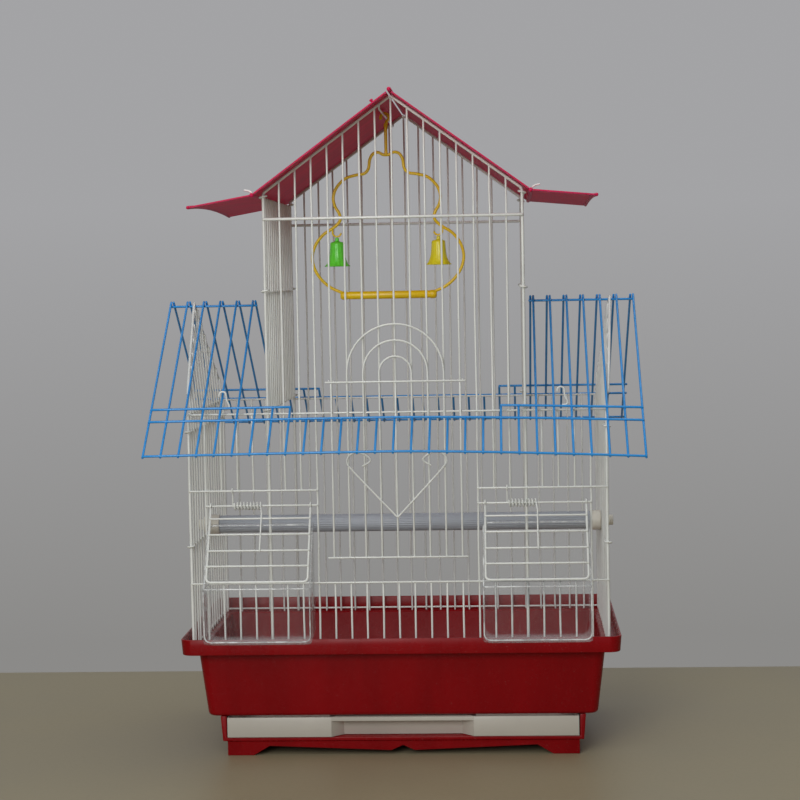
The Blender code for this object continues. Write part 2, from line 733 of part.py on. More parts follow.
def make_cup(name, centre, material):
    """A clear feeder cup: a bowl with a hood, open towards the cage, and a lip over the sill."""
    bm = bmesh.new()
    add_prism(bm, cup_outline(0.0, CUP_BACK, False), centre - CUP_HALF, centre + CUP_HALF)
    round_foot(bm, CUP_ROUND)
    item = make_object(name, bm, material)
    hollow = bmesh.new()
    half = CUP_HALF - CUP_WALL
    add_prism(hollow, cup_outline(CUP_WALL, CUP_BACK, True), centre - half, centre + half)
    round_foot(hollow, CUP_ROUND - CUP_WALL)
    boolean(item, make_object(name + " hollow", hollow), "DIFFERENCE")
    lip = bmesh.new()
    lip_half = (FEED_OUT - FEED_IN) * PITCH / 2 - POST - LIP_SIDE
    middle = math.copysign((FEED_IN + FEED_OUT) * PITCH / 2, centre)
    bottom = Z_SILL + WIRE + GAP
    add_box(lip, (middle - lip_half, -CUP_BACK - 0.5 * CUP_WALL, bottom),
            (middle + lip_half, -HALF_DEPTH + WIRE + LIP_DEPTH, bottom + LIP_T))
    return boolean(item, make_object(name + " lip", lip), "UNION")


def make_perch(perch_material, cap_material):
    """The perch between the side panels. Its caps rest on a rail and clasp two bars."""
    inner = HOUSE_HALF - WIRE - GAP
    rod = bmesh.new()
    half = inner - CAP_LENGTH - GAP
    add_bar(rod, (-half, 0, PERCH_Z), (half, 0, PERCH_Z), PERCH_R, (0, 0, 1), sides=20)
    make_object("perch_rod", rod, perch_material, smooth=True)
    neck = PERCH_Z - SIDE_RAILS[0] - WIRE - GAP
    flange = HOUSE_HALF + RAIL_OFF + WIRE + GAP - inner
    end = flange + NUB_LENGTH
    for name, sign in (("perch_cap_left", -1), ("perch_cap_right", 1)):
        profile = [(0, end), (NUB_R - 0.0006, end), (NUB_R, end - 0.0006),
                   (NUB_R, flange + FLANGE_LENGTH), (FLANGE_R, flange + FLANGE_LENGTH),
                   (FLANGE_R, flange), (neck, flange), (neck, 0), (CAP_R - 0.001, 0),
                   (CAP_R, -0.001), (CAP_R, -CAP_LENGTH), (0, -CAP_LENGTH)]
        turned(name, profile, (sign * inner, 0, PERCH_Z), (sign, 0, 0), cap_material)


def swing_points():
    """The swing's frame, from the left end of its bar over the stem to the right end."""
    x0, y0 = SWING_AT
    left = [(x0 - x, y0, z) for x, z in SWING_HALF]
    right = [(x0 + x, y0, z) for x, z in reversed(SWING_HALF)]
    return left + right


def hook_points():
    """The swing's hook: up the stem and over the rail."""
    x0, y0 = SWING_AT
    top = RAIL_Z + WIRE + GAP + SWING_WIRE
    centre = top - HOOK_R
    points = [(x0, y0, SWING_HALF[-1][1] - 0.0005), (x0, y0, centre - HOOK_R * 1.9)]
    for degrees in range(-60, 211, 30):
        angle = math.radians(degrees)
        points.append((RAIL_X + HOOK_R * math.cos(angle), y0, centre + HOOK_R * math.sin(angle)))
    return points


def bell_hook_points(sign):
    """A small curl under the frame that carries a bell."""
    x0, y0 = SWING_AT
    middle = x0 + sign * BELL_X
    radius = BELL_HOOK_R
    out, up = BELL_HOOK_FOOT
    points = [(middle + sign * out, y0, BELL_PIVOT + up)]
    for degrees in (20, -15, -50, -90, -130, -170):
        angle = math.radians(degrees)
        points.append((middle + sign * radius * math.cos(angle), y0,
                       BELL_PIVOT + radius + radius * math.sin(angle)))
    return points


def make_swing(material):
    x0, y0 = SWING_AT
    half, radius, height = SWING_BAR
    bm = bmesh.new()
    add_bar(bm, (x0 - half, y0, height), (x0 + half, y0, height), radius, (0, 0, 1), sides=12)
    item = make_object("swing", bm, material, smooth=True)
    frame = bmesh.new()
    add_wire(frame, swing_points(), SWING_WIRE, resolution=1)
    boolean(item, make_object("swing frame", frame), "UNION")
    hooks = bmesh.new()
    add_wire(hooks, hook_points(), SWING_WIRE * 0.99, resolution=1)
    for sign in (-1, 1):
        add_wire(hooks, bell_hook_points(sign), BELL_HOOK, resolution=1)
    boolean(item, make_object("swing hooks", hooks), "UNION")


def make_bell(name, sign, material):
    x0, y0 = SWING_AT
    top_r, rim_r = BELL_R
    stud_top = -BELL_HOOK - GAP
    crown = stud_top - STUD_H
    low = crown - BELL_H
    outer = [(0, stud_top), (STUD_R, stud_top), (STUD_R, crown + 0.0008),
             (top_r - 0.0008, crown), (top_r, crown - 0.001)]
    for share in (0.25, 0.5, 0.7, 0.85, 0.95):
        flare = top_r + (rim_r - top_r) * (0.25 * share + 0.75 * share ** 5)
        outer.append((flare, crown - BELL_H * share))
    outer.append((rim_r, low))
    inner = [(radius - BELL_WALL, z if z < crown - 0.002 else crown - BELL_WALL)
             for radius, z in reversed(outer[4:])]
    profile = outer + inner + [(0, crown - BELL_WALL)]
    turned(name, profile, (x0 + sign * BELL_X, y0, BELL_PIVOT), (0, 0, 1), material, steps=16)


def make_tub(material):
    body_top = (HOUSE_HALF - TUB_INSET, HALF_DEPTH - TUB_INSET)
    body_foot = (body_top[0] - TUB_TAPER, body_top[1] - TUB_TAPER)
    rim = (HOUSE_HALF + RIM_MARGIN, HALF_DEPTH + RIM_MARGIN)
    under = Z_LEDGE - TUB_WALL
    bm = bmesh.new()
    add_tapered_box(bm, body_top, body_foot, Z_TUB, under + 0.001, TUB_ROUND)
    item = make_object("tub", bm, material, smooth=True)
    band = bmesh.new()
    add_box(band, (-rim[0], -rim[1], under), (rim[0], rim[1], Z_LEDGE + RIM_H), TUB_ROUND)
    boolean(item, make_object("tub rim", band), "UNION")
    inside = bmesh.new()
    wall = TUB_WALL
    add_box(inside, (wall - rim[0], wall - rim[1], Z_LEDGE),
            (rim[0] - wall, rim[1] - wall, Z_LEDGE + RIM_H + 0.01), TUB_ROUND - wall)
    boolean(item, make_object("tub rim inside", inside), "DIFFERENCE")
    hollow = bmesh.new()
    add_tapered_box(hollow, [v - wall for v in body_top], [v - wall for v in body_foot],
                    Z_TUB + wall, Z_LEDGE + 0.001, TUB_ROUND - wall)
    boolean(item, make_object("tub hollow", hollow), "DIFFERENCE")
    hole = bmesh.new()
    add_box(hole, (-HOLE_HALF[0], -HOLE_HALF[1], Z_TUB - 0.01),
            (HOLE_HALF[0], HOLE_HALF[1], Z_TUB + 0.01))
    boolean(item, make_object("tub hole", hole), "DIFFERENCE")


def make_floor_grille(material):
    """The wire floor in the tub, over the hole above the tray."""
    half_x, half_y = GRILLE_HALF
    z = Z_TUB + TUB_WALL + GAP + WIRE
    step = 2 * half_x / GRILLE_SPACES[0]
    bars = [((-half_x + step * k, -half_y, z), (-half_x + step * k, half_y, z), WIRE, (0, 0, 1))
            for k in range(GRILLE_SPACES[0] + 1)]
    reach = half_y - 0.004
    step = 2 * reach / GRILLE_SPACES[1]
    over = z + 2 * BITE * WIRE
    rails = [((-half_x - OVERSHOOT, -reach + step * k, over),
              (half_x + OVERSHOOT, -reach + step * k, over), WIRE, (0, 0, 1))
             for k in range(GRILLE_SPACES[1] + 1)]
    panel("floor_grille", bars, rails, [], material)


def make_foot_frame(material):
    half_x, half_y = FRAME_HALF
    top = Z_TUB - GAP
    bm = bmesh.new()
    add_tapered_box(bm, (half_x, half_y), (half_x - FRAME_TAPER, half_y), FRAME_FLOOR[0], top, 0)
    item = make_object("foot_frame", bm, material)
    block = bmesh.new()
    x, y = half_x - FOOT_STEP[0], half_y - FOOT_STEP[1]
    add_box(block, (-x, -y, 0.0), (x, y, FRAME_FLOOR[0] + 0.001))
    boolean(item, make_object("frame block", block), "UNION")
    slot = bmesh.new()
    inner = half_x - FRAME_WALL
    add_box(slot, (-inner, -half_y - 0.01, FRAME_FLOOR[1]),
            (inner, half_y - FRAME_WALL, top + 0.01))
    boolean(item, make_object("tray slot", slot), "DIFFERENCE")
    under = bmesh.new()
    x, y = inner - FOOT_STEP[0], half_y - FRAME_WALL
    add_box(under, (-x, -y, -0.01), (x, y, FRAME_FLOOR[0] - 0.0005))
    boolean(item, make_object("frame underside", under), "DIFFERENCE")
    hole = bmesh.new()
    add_box(hole, (LEDGE - inner, LEDGE - half_y, -0.02), (inner - LEDGE, half_y - LEDGE, top))
    boolean(item, make_object("frame hole", hole), "DIFFERENCE")
    feet = bmesh.new()
    add_prism(feet, FOOT_CUT, -half_y - 0.01, half_y + 0.01, axis="Y")
    boolean(item, make_object("frame feet", feet), "DIFFERENCE")


def tray_plan(wall):
    """The tray's plan, in x and y, drawn in by a wall, with the grip pushed in at the front."""
    half = FRAME_HALF[0] - FRAME_WALL - TRAY_PLAY - wall
    front = -FRAME_HALF[1] - 0.0015 + wall
    back = FRAME_HALF[1] - FRAME_WALL - TRAY_PLAY - wall
    grip, mouth, depth = GRIP
    return [(half, front), (half, back), (-half, back), (-half, front), (-mouth - wall, front),
            (-grip - wall, front + depth), (grip + wall, front + depth), (mouth + wall, front)]


def make_tray(material):
    floor = FRAME_FLOOR[1] + 0.0005
    bm = bmesh.new()
    add_prism(bm, tray_plan(0.0), floor, TRAY_TOP, axis="Z")
    item = make_object("droppings_tray", bm, material)
    hollow = bmesh.new()
    add_prism(hollow, tray_plan(TRAY_WALL), floor + TRAY_WALL, TRAY_TOP + 0.01, axis="Z")
    boolean(item, make_object("tray hollow", hollow), "DIFFERENCE")
    lip = bmesh.new()
    front = tray_plan(0.0)[0][1]
    add_box(lip, (-GRIP[1] - 0.002, front + 0.0002, TRAY_TOP - LIP_H),
            (GRIP[1] + 0.002, front + GRIP[2] + 0.0008, TRAY_TOP - 0.0002))
    boolean(item, make_object("tray lip", lip), "UNION")


start_clean()
PARTS = make_collection("bird cage")
CUTTERS = make_collection("cutters and guides")


def main():
    white = make_material("white_wire", (0.80, 0.80, 0.76), 0.35)
    blue = make_material("blue_wire", (0.06, 0.36, 0.70), 0.35)
    red = make_material("red_plastic", (0.55, 0.01, 0.02), 0.3)
    crimson = make_material("crimson_plastic", (0.50, 0.03, 0.10), 0.4)
    cream = make_material("white_plastic", (0.85, 0.83, 0.78), 0.4)
    clear = make_material("clear_plastic", (0.85, 0.88, 0.88), 0.1, alpha=0.35)
    grey = make_material("perch_plastic", (0.45, 0.46, 0.50), 0.5)
    amber = make_material("swing_plastic", (0.85, 0.52, 0.02), 0.35)
    green = make_material("green_plastic", (0.12, 0.70, 0.08), 0.35)
    yellow = make_material("yellow_plastic", (0.80, 0.75, 0.03), 0.35)
    steel = make_material("spring_wire", (0.75, 0.75, 0.72), 0.35)

    make_tub(red)
    make_foot_frame(red)
    make_tray(cream)
    make_floor_grille(white)
    make_front(white)
    make_back(white)
    make_side("side_panel_left", -1, white)
    make_side("side_panel_right", 1, white)
    make_tower_side("tower_side_left", -1, white)
    make_tower_side("tower_side_right", 1, white)
    make_blue_roof("blue_roof_front", -1, blue)
    make_blue_roof("blue_roof_back", 1, blue)
    make_ridge("blue_ridge_left", -1, RIDGE_FULL[0], blue)
    make_ridge("blue_ridge_right", 1, RIDGE_FULL[1], blue)
    make_roof_rod(crimson)
    make_slope("roof_slope_left", -1, crimson)
    make_slope("roof_slope_right", 1, crimson)
    make_flare("roof_flare_left", -1, FLARE_DROP["left"], crimson)
    make_flare("roof_flare_right", 1, FLARE_DROP["right"], crimson)
    make_door(white)
    for side, sign in (("left", -1), ("right", 1)):
        make_cup("feeder_cup_" + side, sign * FEEDER_X, clear)
        make_flap("feeder_flap_" + side, sign * FEEDER_X, white)
        make_spring("feeder_spring_" + side, sign * FEEDER_X, steel)
    make_perch(grey, cream)
    make_swing_rail(white)
    make_swing(amber)
    make_bell("bell_left", -1, green)
    make_bell("bell_right", 1, yellow)


main()
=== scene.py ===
"""The looks of a folding wire bird cage, built round its solids.

Every grille is drawn again as round coated wire with bent eyes and welds, and the
plastic pieces get rounded edges, ribs and their finishes. The file is laid out as an
add-on with one operator for each group of pieces, and is run as a script.
Metres, +Z up, the front towards -Y.
"""

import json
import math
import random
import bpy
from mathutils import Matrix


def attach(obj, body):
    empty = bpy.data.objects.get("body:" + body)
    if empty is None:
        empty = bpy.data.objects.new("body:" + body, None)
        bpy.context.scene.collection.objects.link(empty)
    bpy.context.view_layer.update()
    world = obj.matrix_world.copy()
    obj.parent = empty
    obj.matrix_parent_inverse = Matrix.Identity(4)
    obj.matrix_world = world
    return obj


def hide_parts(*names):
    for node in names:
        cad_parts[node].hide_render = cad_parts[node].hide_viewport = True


bl_info = {
    "name": "Folding bird cage",
    "version": (1, 0, 0),
    "blender": (4, 5, 0),
    "location": "View3D > Sidebar > Bird cage",
    "description": "Builds the wires, roofs, tub, feeders and swing of a folding bird cage",
    "category": "Object",
}

import bmesh
import bpy
from bpy.props import FloatProperty, FloatVectorProperty, PointerProperty
from mathutils import Matrix, Vector

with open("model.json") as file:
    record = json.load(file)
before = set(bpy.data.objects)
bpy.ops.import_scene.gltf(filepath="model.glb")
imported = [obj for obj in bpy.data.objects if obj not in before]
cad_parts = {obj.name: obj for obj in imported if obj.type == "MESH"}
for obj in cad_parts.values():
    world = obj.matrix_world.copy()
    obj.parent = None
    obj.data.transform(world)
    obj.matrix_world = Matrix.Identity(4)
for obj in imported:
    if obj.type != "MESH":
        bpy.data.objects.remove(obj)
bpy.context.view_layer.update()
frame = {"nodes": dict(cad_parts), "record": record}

# Wires, as in the solids
WIRE = 0.0010            # radius of the white bars
POST = 0.0015            # radius of the corner posts
GABLE_WIRE = 0.0016      # radius of the bent wires over the gables
BLUE = 0.0012            # radius of the blue bars
EYE_WIRE = 0.0009        # radius of the wires bent into eyes
BITE = 0.64              # how deep welded bars sit in each other, as a share of both radii
GAP = 0.0003
RUN = 0.0006             # between pieces that turn or slide on each other
OVERSHOOT = 0.0009       # of a bar past the rail that it is welded to
WELD_SWELL = 1.16        # thickness of the coat round a weld, against the bar's
WELD_REACH = 0.0022
STRAY = 0.0003           # sideways, of a long bar between its welds
STRAY_FROM = 0.03        # the shortest length between welds that strays
DOME = ((0.0, 0.45), (0.25, 0.80), (0.7, 1.0))   # in from a wire's end, and thickness there
BEND_SHARE = 0.48        # of a leg between two bends, that each of them can take
BEND_LEAST = 0.05        # tangent of half the sharpest bend's angle
WIRE_SMOOTH = 50         # degrees

# House and tower
PITCH = 0.016
HOUSE_BARS, TOWER_BARS, DOOR_BARS = 13, 8, 4
FEED_IN, FEED_OUT = 5, 12
HALF_DEPTH = 0.125
SIDE_SPACES = 15
Z_LEDGE = 0.1090
Z_SILL = 0.178
Z_FEED_ROD = 0.2562
Z_FEED_RAIL = 0.2712
Z_SHOULDER = 0.348
Z_TOWER_RAIL = 0.541
Z_APEX = 0.660
Z_EAVE = 0.567
FOOT_RAIL = 0.003        # from the tub's ledge up to the lowest rail
SIDE_RAILS = (0.2147, 0.330)
TOWER_SIDE_RAILS = (0.3505, 0.469, 0.562)
HOUSE_HALF = HOUSE_BARS * PITCH
TOWER_HALF = TOWER_BARS * PITCH
GABLE_SLOPE = (Z_APEX - Z_EAVE) / TOWER_HALF
GABLE_BEND = 0.006       # of the tower's thick wires
EYE_TURN = 250           # degrees, of a side rail's end round its post
EYE_RISE = 0.0026        # from the eye's start to its end
EYE_STEPS = 12
EYE_FROM = 0.012         # from the post to where the rail starts to bend
EYE_PLAY = 1.5 * RUN     # between an eye and its post
KINK = 0.002             # of a side bar, over the shoulder rail
RAIL_OFF = BITE * (WIRE + POST)
POST_RAIL_OFF = 2 * BITE * POST

# Blue roofs
BLUE_SPACES = 28
BLUE_PITCH = 0.01736
Z_RIDGE = 0.4545
EAVE_OUT = 0.190
EAVE_DROP = 0.1445
BAND_OUT = (0.1355, 0.1500)
RIDGE_FULL = (6, 7)
BAND_FULL = (9, 9)
TIP = 0.004
BLUE_SLOPE = EAVE_DROP / EAVE_OUT
BLUE_HALF = BLUE_SPACES // 2 * BLUE_PITCH
# Radians that the front and the back roof hang lower at their left, middle and right
BLUE_SAG = ((0.004, -0.006, 0.038), (-0.024, -0.024, -0.022))
BLUE_SAG_POWER = 1.5
LEAN_OUT = 0.0105        # that the tips of the side gables lean out
LEAN_UP = 0.0062         # that they reach over the ridge wires
LEAN_SPAN = 0.075        # how far from its tip a gable rises
LEAN_OUT_POWER, LEAN_UP_POWER = 0.75, 1.5
GABLE_STEPS = 24         # from its tip to its end
BOW_STEP = 0.02          # between the points of a bowed cross wire
RIDGE_SHORT = 0.0050     # of a ridge wire, before the next bar

# Crimson roof
ROOF_T = 0.0016
ROOF_HALF = 0.150
ROD = 0.0022
BEND_X = 0.1365
FLARE = 0.064
FLARE_DROP = {"left": math.radians(9.8), "right": math.radians(5.5)}
FLARE_RISE = {"left": 0.004, "right": 0.0025}    # of the eave flaps' outer edges in the middle
BEAD_PAST = 0.0005       # of the beads past the sheets
OUTER_BEAD = 0.8         # its radius, against that of the bead at the bend
RIB_PITCH = 0.0025
RIB_DEPTH = 0.00022
SHEET_SMOOTH = 50        # degrees
BEAD_STEPS = 16
WAVE_UNIT = 20           # a Wave Texture's bands are this many radians to a metre

# Door
DOOR_Z = (0.2035, 0.3785)
ARCH_UP = 0.009
ARCH_STEPS = (14, 4)     # in any arch, and more for each bar's spacing of its radius
DOOR_BAR = 0.070
GUIDE_TURN = 300         # degrees, of the door's guides round the tower's bars
GUIDE_RISE = 0.0012
GUIDE_STEPS = 14
GUIDE_START = (0.0004, 0.0012)   # behind the upper rail, where they begin
HEART_WIRE = 0.93 * WIRE
HEART_FOOT = 0.244
HEART_TIP = (0.004, 0.0035)      # half of the round tip's width, and its height
# One half of the heart, from its tip to its curled end: out from its middle, and height
HEART = ((0.0337, 0.2792), (0.0455, 0.2922), (0.0495, 0.2985), (0.0475, 0.305),
         (0.041, 0.3085), (0.033, 0.307), (0.026, 0.3005), (0.0345, 0.2945))

# Feeders
FEEDER_X = 0.1370
FLAP_HALF = 0.050
FLAP_LENGTH = 0.0838
FLAP_LEAN = math.radians(33.3)
FLAP_BARS = (0.178, 0.388, 0.60, 0.80)    # as shares of the way from the rod to the foot
FLAP_WIRE = WIRE * 1.2
FLAP_LIFT = 1.3 * WIRE   # from a flap's frame to its bars
FLAP_BEND = FLAP_LENGTH * 0.06
FLAP_EYE_TURN = 330      # degrees, round the rod
FLAP_EYE_STEPS = 16
SPRING_WIRE = 0.0008
SPRING_TURNS = 8
SPRING_PITCH = 0.0033
SPRING_POINTS = 20
SPRING_PLAY = 0.0011
SPRING_LEG = (0.12, 0.34, 0.63)  # where the long leg passes, as shares of a flap
SPRING_LEG_X = 0.0016
SPRING_LEG_LIFT = 2.3 * WIRE + GAP + SPRING_WIRE
SPRING_HOOK_DROP = 0.001         # of the short leg's end under the rod's axis
SPRING_HOOK_ASIDE = 2.2 * SPRING_WIRE
SPRING_HOOK_CURL = range(30, 241, 30)    # degrees

CUP_HALF = 0.053
CUP_FRONT = 0.1800
CUP_BACK = 0.1290
CUP_FOOT = 0.1238
CUP_SHELF = 0.1810
CUP_TOP = 0.2385
CUP_WALL = 0.0016
CUP_NOSE = 0.009         # height of the round below its front
CUP_BEAD = 0.0007        # radius of the pale lines along the cups' edges: partly their thicker corners, partly painted highlight
CUP_BEND = 0.007
CUP_RIM_BEND = 0.002
CUP_UNDER = CUP_NOSE * 0.3       # from a cup's lowest and foremost planes to its lower line

# Perch and swing
PERCH_R = 0.0092
PERCH_Z = 0.223
CAP_LENGTH = 0.010
CAP_EDGE = 0.0004
PERCH_RIBS = 26
PERCH_SIDES = PERCH_RIBS * 4
PERCH_SMOOTH = 60        # degrees
PERCH_GROOVE = 0.055     # depth between its ribs, as a share of its radius
PERCH_CHAMFER = 0.0008
PERCH_END = 0.93         # radius of its ends, against its own
SWING_AT = (-0.0108, -0.030)
SWING_WIRE = 0.0016
RAIL_X = -0.0115
RAIL_Z = 0.6475
RAIL_PAST = 0.0005       # of its ends past the gable wires' axes
RAIL_BEND = 0.003
SWING_BAR = (0.050, 0.0045, 0.4635)      # half of its length, its radius and its height
# In from its end, and the share of its radius there
SWING_BAR_END = ((0.0, 0.55), (0.0008, 0.82), (0.0020, 0.96), (0.0032, 1.0), (0.0062, 1.0),
                 (0.0072, 0.86), (0.0084, 0.84), (0.0094, 0.92))
# One half of its frame, from the bar up to the hook: out from its middle, and height
SWING_HALF = ((0.046, 0.4655), (0.060, 0.472), (0.070, 0.481), (0.0765, 0.492), (0.0785, 0.504),
              (0.075, 0.516), (0.067, 0.5265), (0.057, 0.533), (0.051, 0.538), (0.0485, 0.543),
              (0.050, 0.549), (0.054, 0.556), (0.0555, 0.565), (0.052, 0.575), (0.043, 0.584),
              (0.032, 0.5875), (0.023, 0.589), (0.0185, 0.594), (0.017, 0.603), (0.0135, 0.609),
              (0.008, 0.6105), (0.003, 0.608))
HOOK_R = 0.0042
HOOK_CURL = range(-60, 211, 15)  # degrees
HOOK_THIN = 0.95         # thickness of its curl, against the swing's wire
HOOK_IN = 0.0005         # of its foot into the frame
HOOK_FOOT = ((0.0, 1.25), (0.006, 1.0))  # up from its foot, and thickness
HOOK_NECK = ((-2.6, 1.1), (-1.9, 1.35))  # up from its curl's middle in HOOK_R, and thickness
BELL_X = 0.0525
BELL_PIVOT = 0.5245
BELL_HOOK = 0.0010
BELL_HOOK_R = 0.0045
BELL_HOOK_CURL = range(20, -171, -19)    # degrees
BELL_HOOK_FOOT = (0.006, 0.008)
BELL_R = (0.0070, 0.0135)        # at its shoulder and at its rim
BELL_H = 0.0255
BELL_WALL = 0.0012
BELL_CROWN = 0.0022      # thickness at its top
BELL_FLATS = (0.0006, 0.001)     # radii of the flat middles on its stud and in its hollow
BELL_SHOULDER = ((0.55, 0.0), (0.86, 0.0004), (1.0, 0.0014))     # share of its radius, and drop
BELL_STEPS = 15
BELL_STRAIGHT, BELL_FLARE = 0.25, 0.75   # shares of the way out to its rim
BELL_FLARE_POWER = 5
BELL_LIP = ((0.0002, 0.0007), (0.0, 0.0003), (0.0004, 0.0))      # in from its rim, and up
STUD_R, STUD_H = 0.002, 0.004
STUD_TOP = STUD_R * 0.8          # radius inside the slanted edge of its top
STUD_EDGE = 0.0005
STUD_FOOT = 0.0010       # where its side ends, over the bell's top
BELL_FLUTES = 14
BELL_SIDES = BELL_FLUTES * 6
BELL_SMOOTH = 55                 # degrees
BELL_FLUTE_DEPTH = 0.035         # as a share of its radius
BELL_FLUTE_FROM = 0.001          # below its top, where they begin
BELL_FLUTE_FADE = 0.006

# Tub
TUB_WALL = 0.002
RIM_MARGIN = 0.0123
RIM_H = 0.0142
TUB_INSET = 0.0036
TUB_TAPER = 0.0072
Z_TUB = 0.0410
TUB_LEAN = 0.0012        # that the foot of its rim stands in from the rim's top
TUB_FOOT_ROUND = 0.004
TUB_EDGE = 0.0009        # the round of its thin edges
TUB_SMOOTH = 35          # degrees
TUB_EDGE_STEPS = 3
TUB_WALL_TURN = -4       # degrees, where the round of its foot meets its slanted wall
HOLE_HALF = (0.165, 0.090)
HOLE_CORNER = 0.004      # the radius of its corners, seen from above
# The same for the tub's corners: outside at its foot, body, under its rim and at its rim,
# and inside at its rim, ledge, under its ledge and at its foot
TUB_CORNERS_OUT = (0.008, 0.010, 0.0105, 0.0115)
TUB_CORNERS_IN = (0.010, 0.009, 0.008, 0.006)
GRILLE_SPACES = (14, 2)
GRILLE_HALF = (0.182, 0.101)
GRILLE_MARGIN = 0.004

# Meshes
CORNER_STEPS = 8         # in a corner of a rounded ring
SAME_PLACE = 1e-7        # points of a wire closer than this are one
SAME_CORNER = 1e-6       # and corners of a solid
SMOOTH_BELOW = 40        # degrees: flatter edges are shaded smooth
ROUNDED_FROM = 32        # degrees: sharper edges of moulded pieces are rounded off
CAP_ROUNDED_FROM = 40
FLAT_BELOW = 1.0         # degrees: flatter edges are taken out first
TRAY_EDGE = 0.8          # rounding of the tray's edges, against the frame's

# Hooks and peg
ROOF_HOOKS = (-0.1705, 0.1655)           # x of the two on the front
# Start, curl's middle and leg of each: x from its own, and height
ROOF_HOOK_START = (-0.0057, 0.3655)
ROOF_HOOK_AT = (-0.0022, 0.3672)
ROOF_HOOK_LEG = ((0.0016, 0.3625), (0.0042, 0.3568), (0.0044, 0.3545), (0.0028, 0.3530),
                 (-0.0012, 0.3529))
ROOF_HOOK_CURL = range(180, -1, -20)     # degrees
ROOF_HOOK_R = 0.0035
ROOF_HOOK_BEND = 0.0012
BEND_HOOK_OUT = 0.0013   # out from the bend, which keeps it off the slope when the flare rises
BEND_HOOK_Y = -0.134
BEND_HOOK_UP = WIRE * 0.7        # from the top of the bead at the bend to the hook's axis
BEND_HOOK = ((0.0022, 0.0014), (0.0045, 0.0024), (0.0082, 0.0028))
PEG_AT = (0.016, -0.1440)
PEG_UP = 0.0002
PEG = ((0.0, 0.0013), (0.0018, 0.0012), (0.0024, 0.0019), (0.0034, 0.0019), (0.0040, 0.0012))

# Camera, fitted to the photograph's viewing angle for a square picture
CAMERA_AT = (0.115, -2.156, 0.481)
CAMERA_YAW = math.radians(3.124)
CAMERA_PITCH = math.radians(-3.411)
CAMERA_ROLL = math.radians(-1.057)
CAMERA_LENS = 92.36
SENSOR_WIDTH = 36.0
STAGE_REACH = 3
WALL_FOOT_Y = 0.34       # where the floor ends, below the background
WALL_SHADE_FADE = (-0.1715, 0.035)     # upward parts of the sight lines at its foot, darkest with painted shade, and at its full tone
LIGHTS = {"key": ((-0.40, -1.15, 1.60), 0.8), "front": ((-0.5, -2.3, 1.0), 1.0),
          "top": ((0.25, 0.20, 1.70), 1.3)}      # places and sizes
LIGHTS_AIM = (0, 0, 0.32)
AMBIENT = (1.0, 0.985, 0.96, 1.0)


class Socket:
    """One value inside a shader, so that its maths reads as Python expressions."""

    def __init__(self, maker, link):
        self.maker, self.link = maker, link

    def _math(self, operation, *values):
        return self.maker.node("ShaderNodeMath", {"operation": operation},
                               dict(enumerate(values)))

    def __add__(self, other):
        return self._math("ADD", self, other)

    def __sub__(self, other):
        return self._math("SUBTRACT", self, other)

    def __mul__(self, other):
        return self._math("MULTIPLY", self, other)

    def __pow__(self, other):
        return self._math("POWER", self, other)

    def between(self, low, high):
        """0 below low, 1 above high, and smooth between them."""
        return self.maker.node("ShaderNodeMapRange", {"interpolation_type": "SMOOTHSTEP"},
                               {"Value": self, "From Min": low, "From Max": high})


class Shader:
    """A material that is being made, with its one Principled shader."""

    def __init__(self, name, roughness, **fixed):
        self.material = bpy.data.materials.new(name)
        self.material.use_nodes = True
        self.tree = self.material.node_tree
        self.shader = self.tree.nodes["Principled BSDF"]
        self.set(self.shader, {"Roughness": roughness})
        self.set(self.shader, {key.replace("_", " "): value for key, value in fixed.items()})

    def set(self, node, values):
        for key, value in values.items():
            if isinstance(value, Socket):
                self.tree.links.new(value.link, node.inputs[key])
            else:
                node.inputs[key].default_value = value

    def node(self, kind, settings=None, values=None, output=0):
        """A node of any kind: its settings first, then its sockets' values or links."""
        node = self.tree.nodes.new(kind)
        for key, value in (settings or {}).items():
            setattr(node, key, value)
        self.set(node, values or {})
        return Socket(self, node.outputs[output])

    def place(self):
        return self.node("ShaderNodeTexCoord", output="Object")

    def scaled(self, factors):
        return self.node("ShaderNodeVectorMath", {"operation": "MULTIPLY"},
                         {0: self.place(), 1: factors})

    def noise(self, scale, detail, roughness=0.55, stretch=None):
        values = {"Scale": scale, "Detail": detail, "Roughness": roughness,
                  "Vector": self.scaled(stretch) if stretch else self.place()}
        return self.node("ShaderNodeTexNoise", None, values)

    def mix(self, factor, first, second):
        """Between two colours, each four numbers or a link."""
        return self.node("ShaderNodeMix", {"data_type": "RGBA"},
                         {0: factor, 6: first, 7: second}, output=2)

    def bump(self, height, strength, distance):
        return self.node("ShaderNodeBump", None,
                         {"Height": height, "Strength": strength, "Distance": distance})


def linear(colour, factor=1.0):
    """A colour property as a shader's four numbers, made lighter or darker by a factor."""
    return (*(min(1.0, channel * factor) for channel in colour), 1.0)


def coated_wire(name, colour, grime):
    """Dipped plastic coat on wire: a soft gloss, small pimples, and dust in thin patches."""
    made = Shader(name, 0.34, Coat_Weight=0.35, Coat_Roughness=0.2, IOR=1.48)
    patches = made.noise(38.0, 4.0).between(0.42, 0.72)
    specks = made.noise(420.0, 2.0).between(0.66, 0.76)
    base = made.mix(patches * 0.5, linear(colour), linear(colour, 0.86))
    base = made.mix(specks * 0.35, base, linear(grime))
    pimples = made.noise(900.0, 2.0)
    runs = made.noise(160.0, 3.0, stretch=(1.0, 1.0, 0.25))
    made.set(made.shader, {
        "Base Color": base,
        "Roughness": patches * 0.16 + specks * 0.2 + 0.30,
        "Normal": made.bump(pimples * 0.5 + runs, 0.35, 0.00025)})
    return made.material


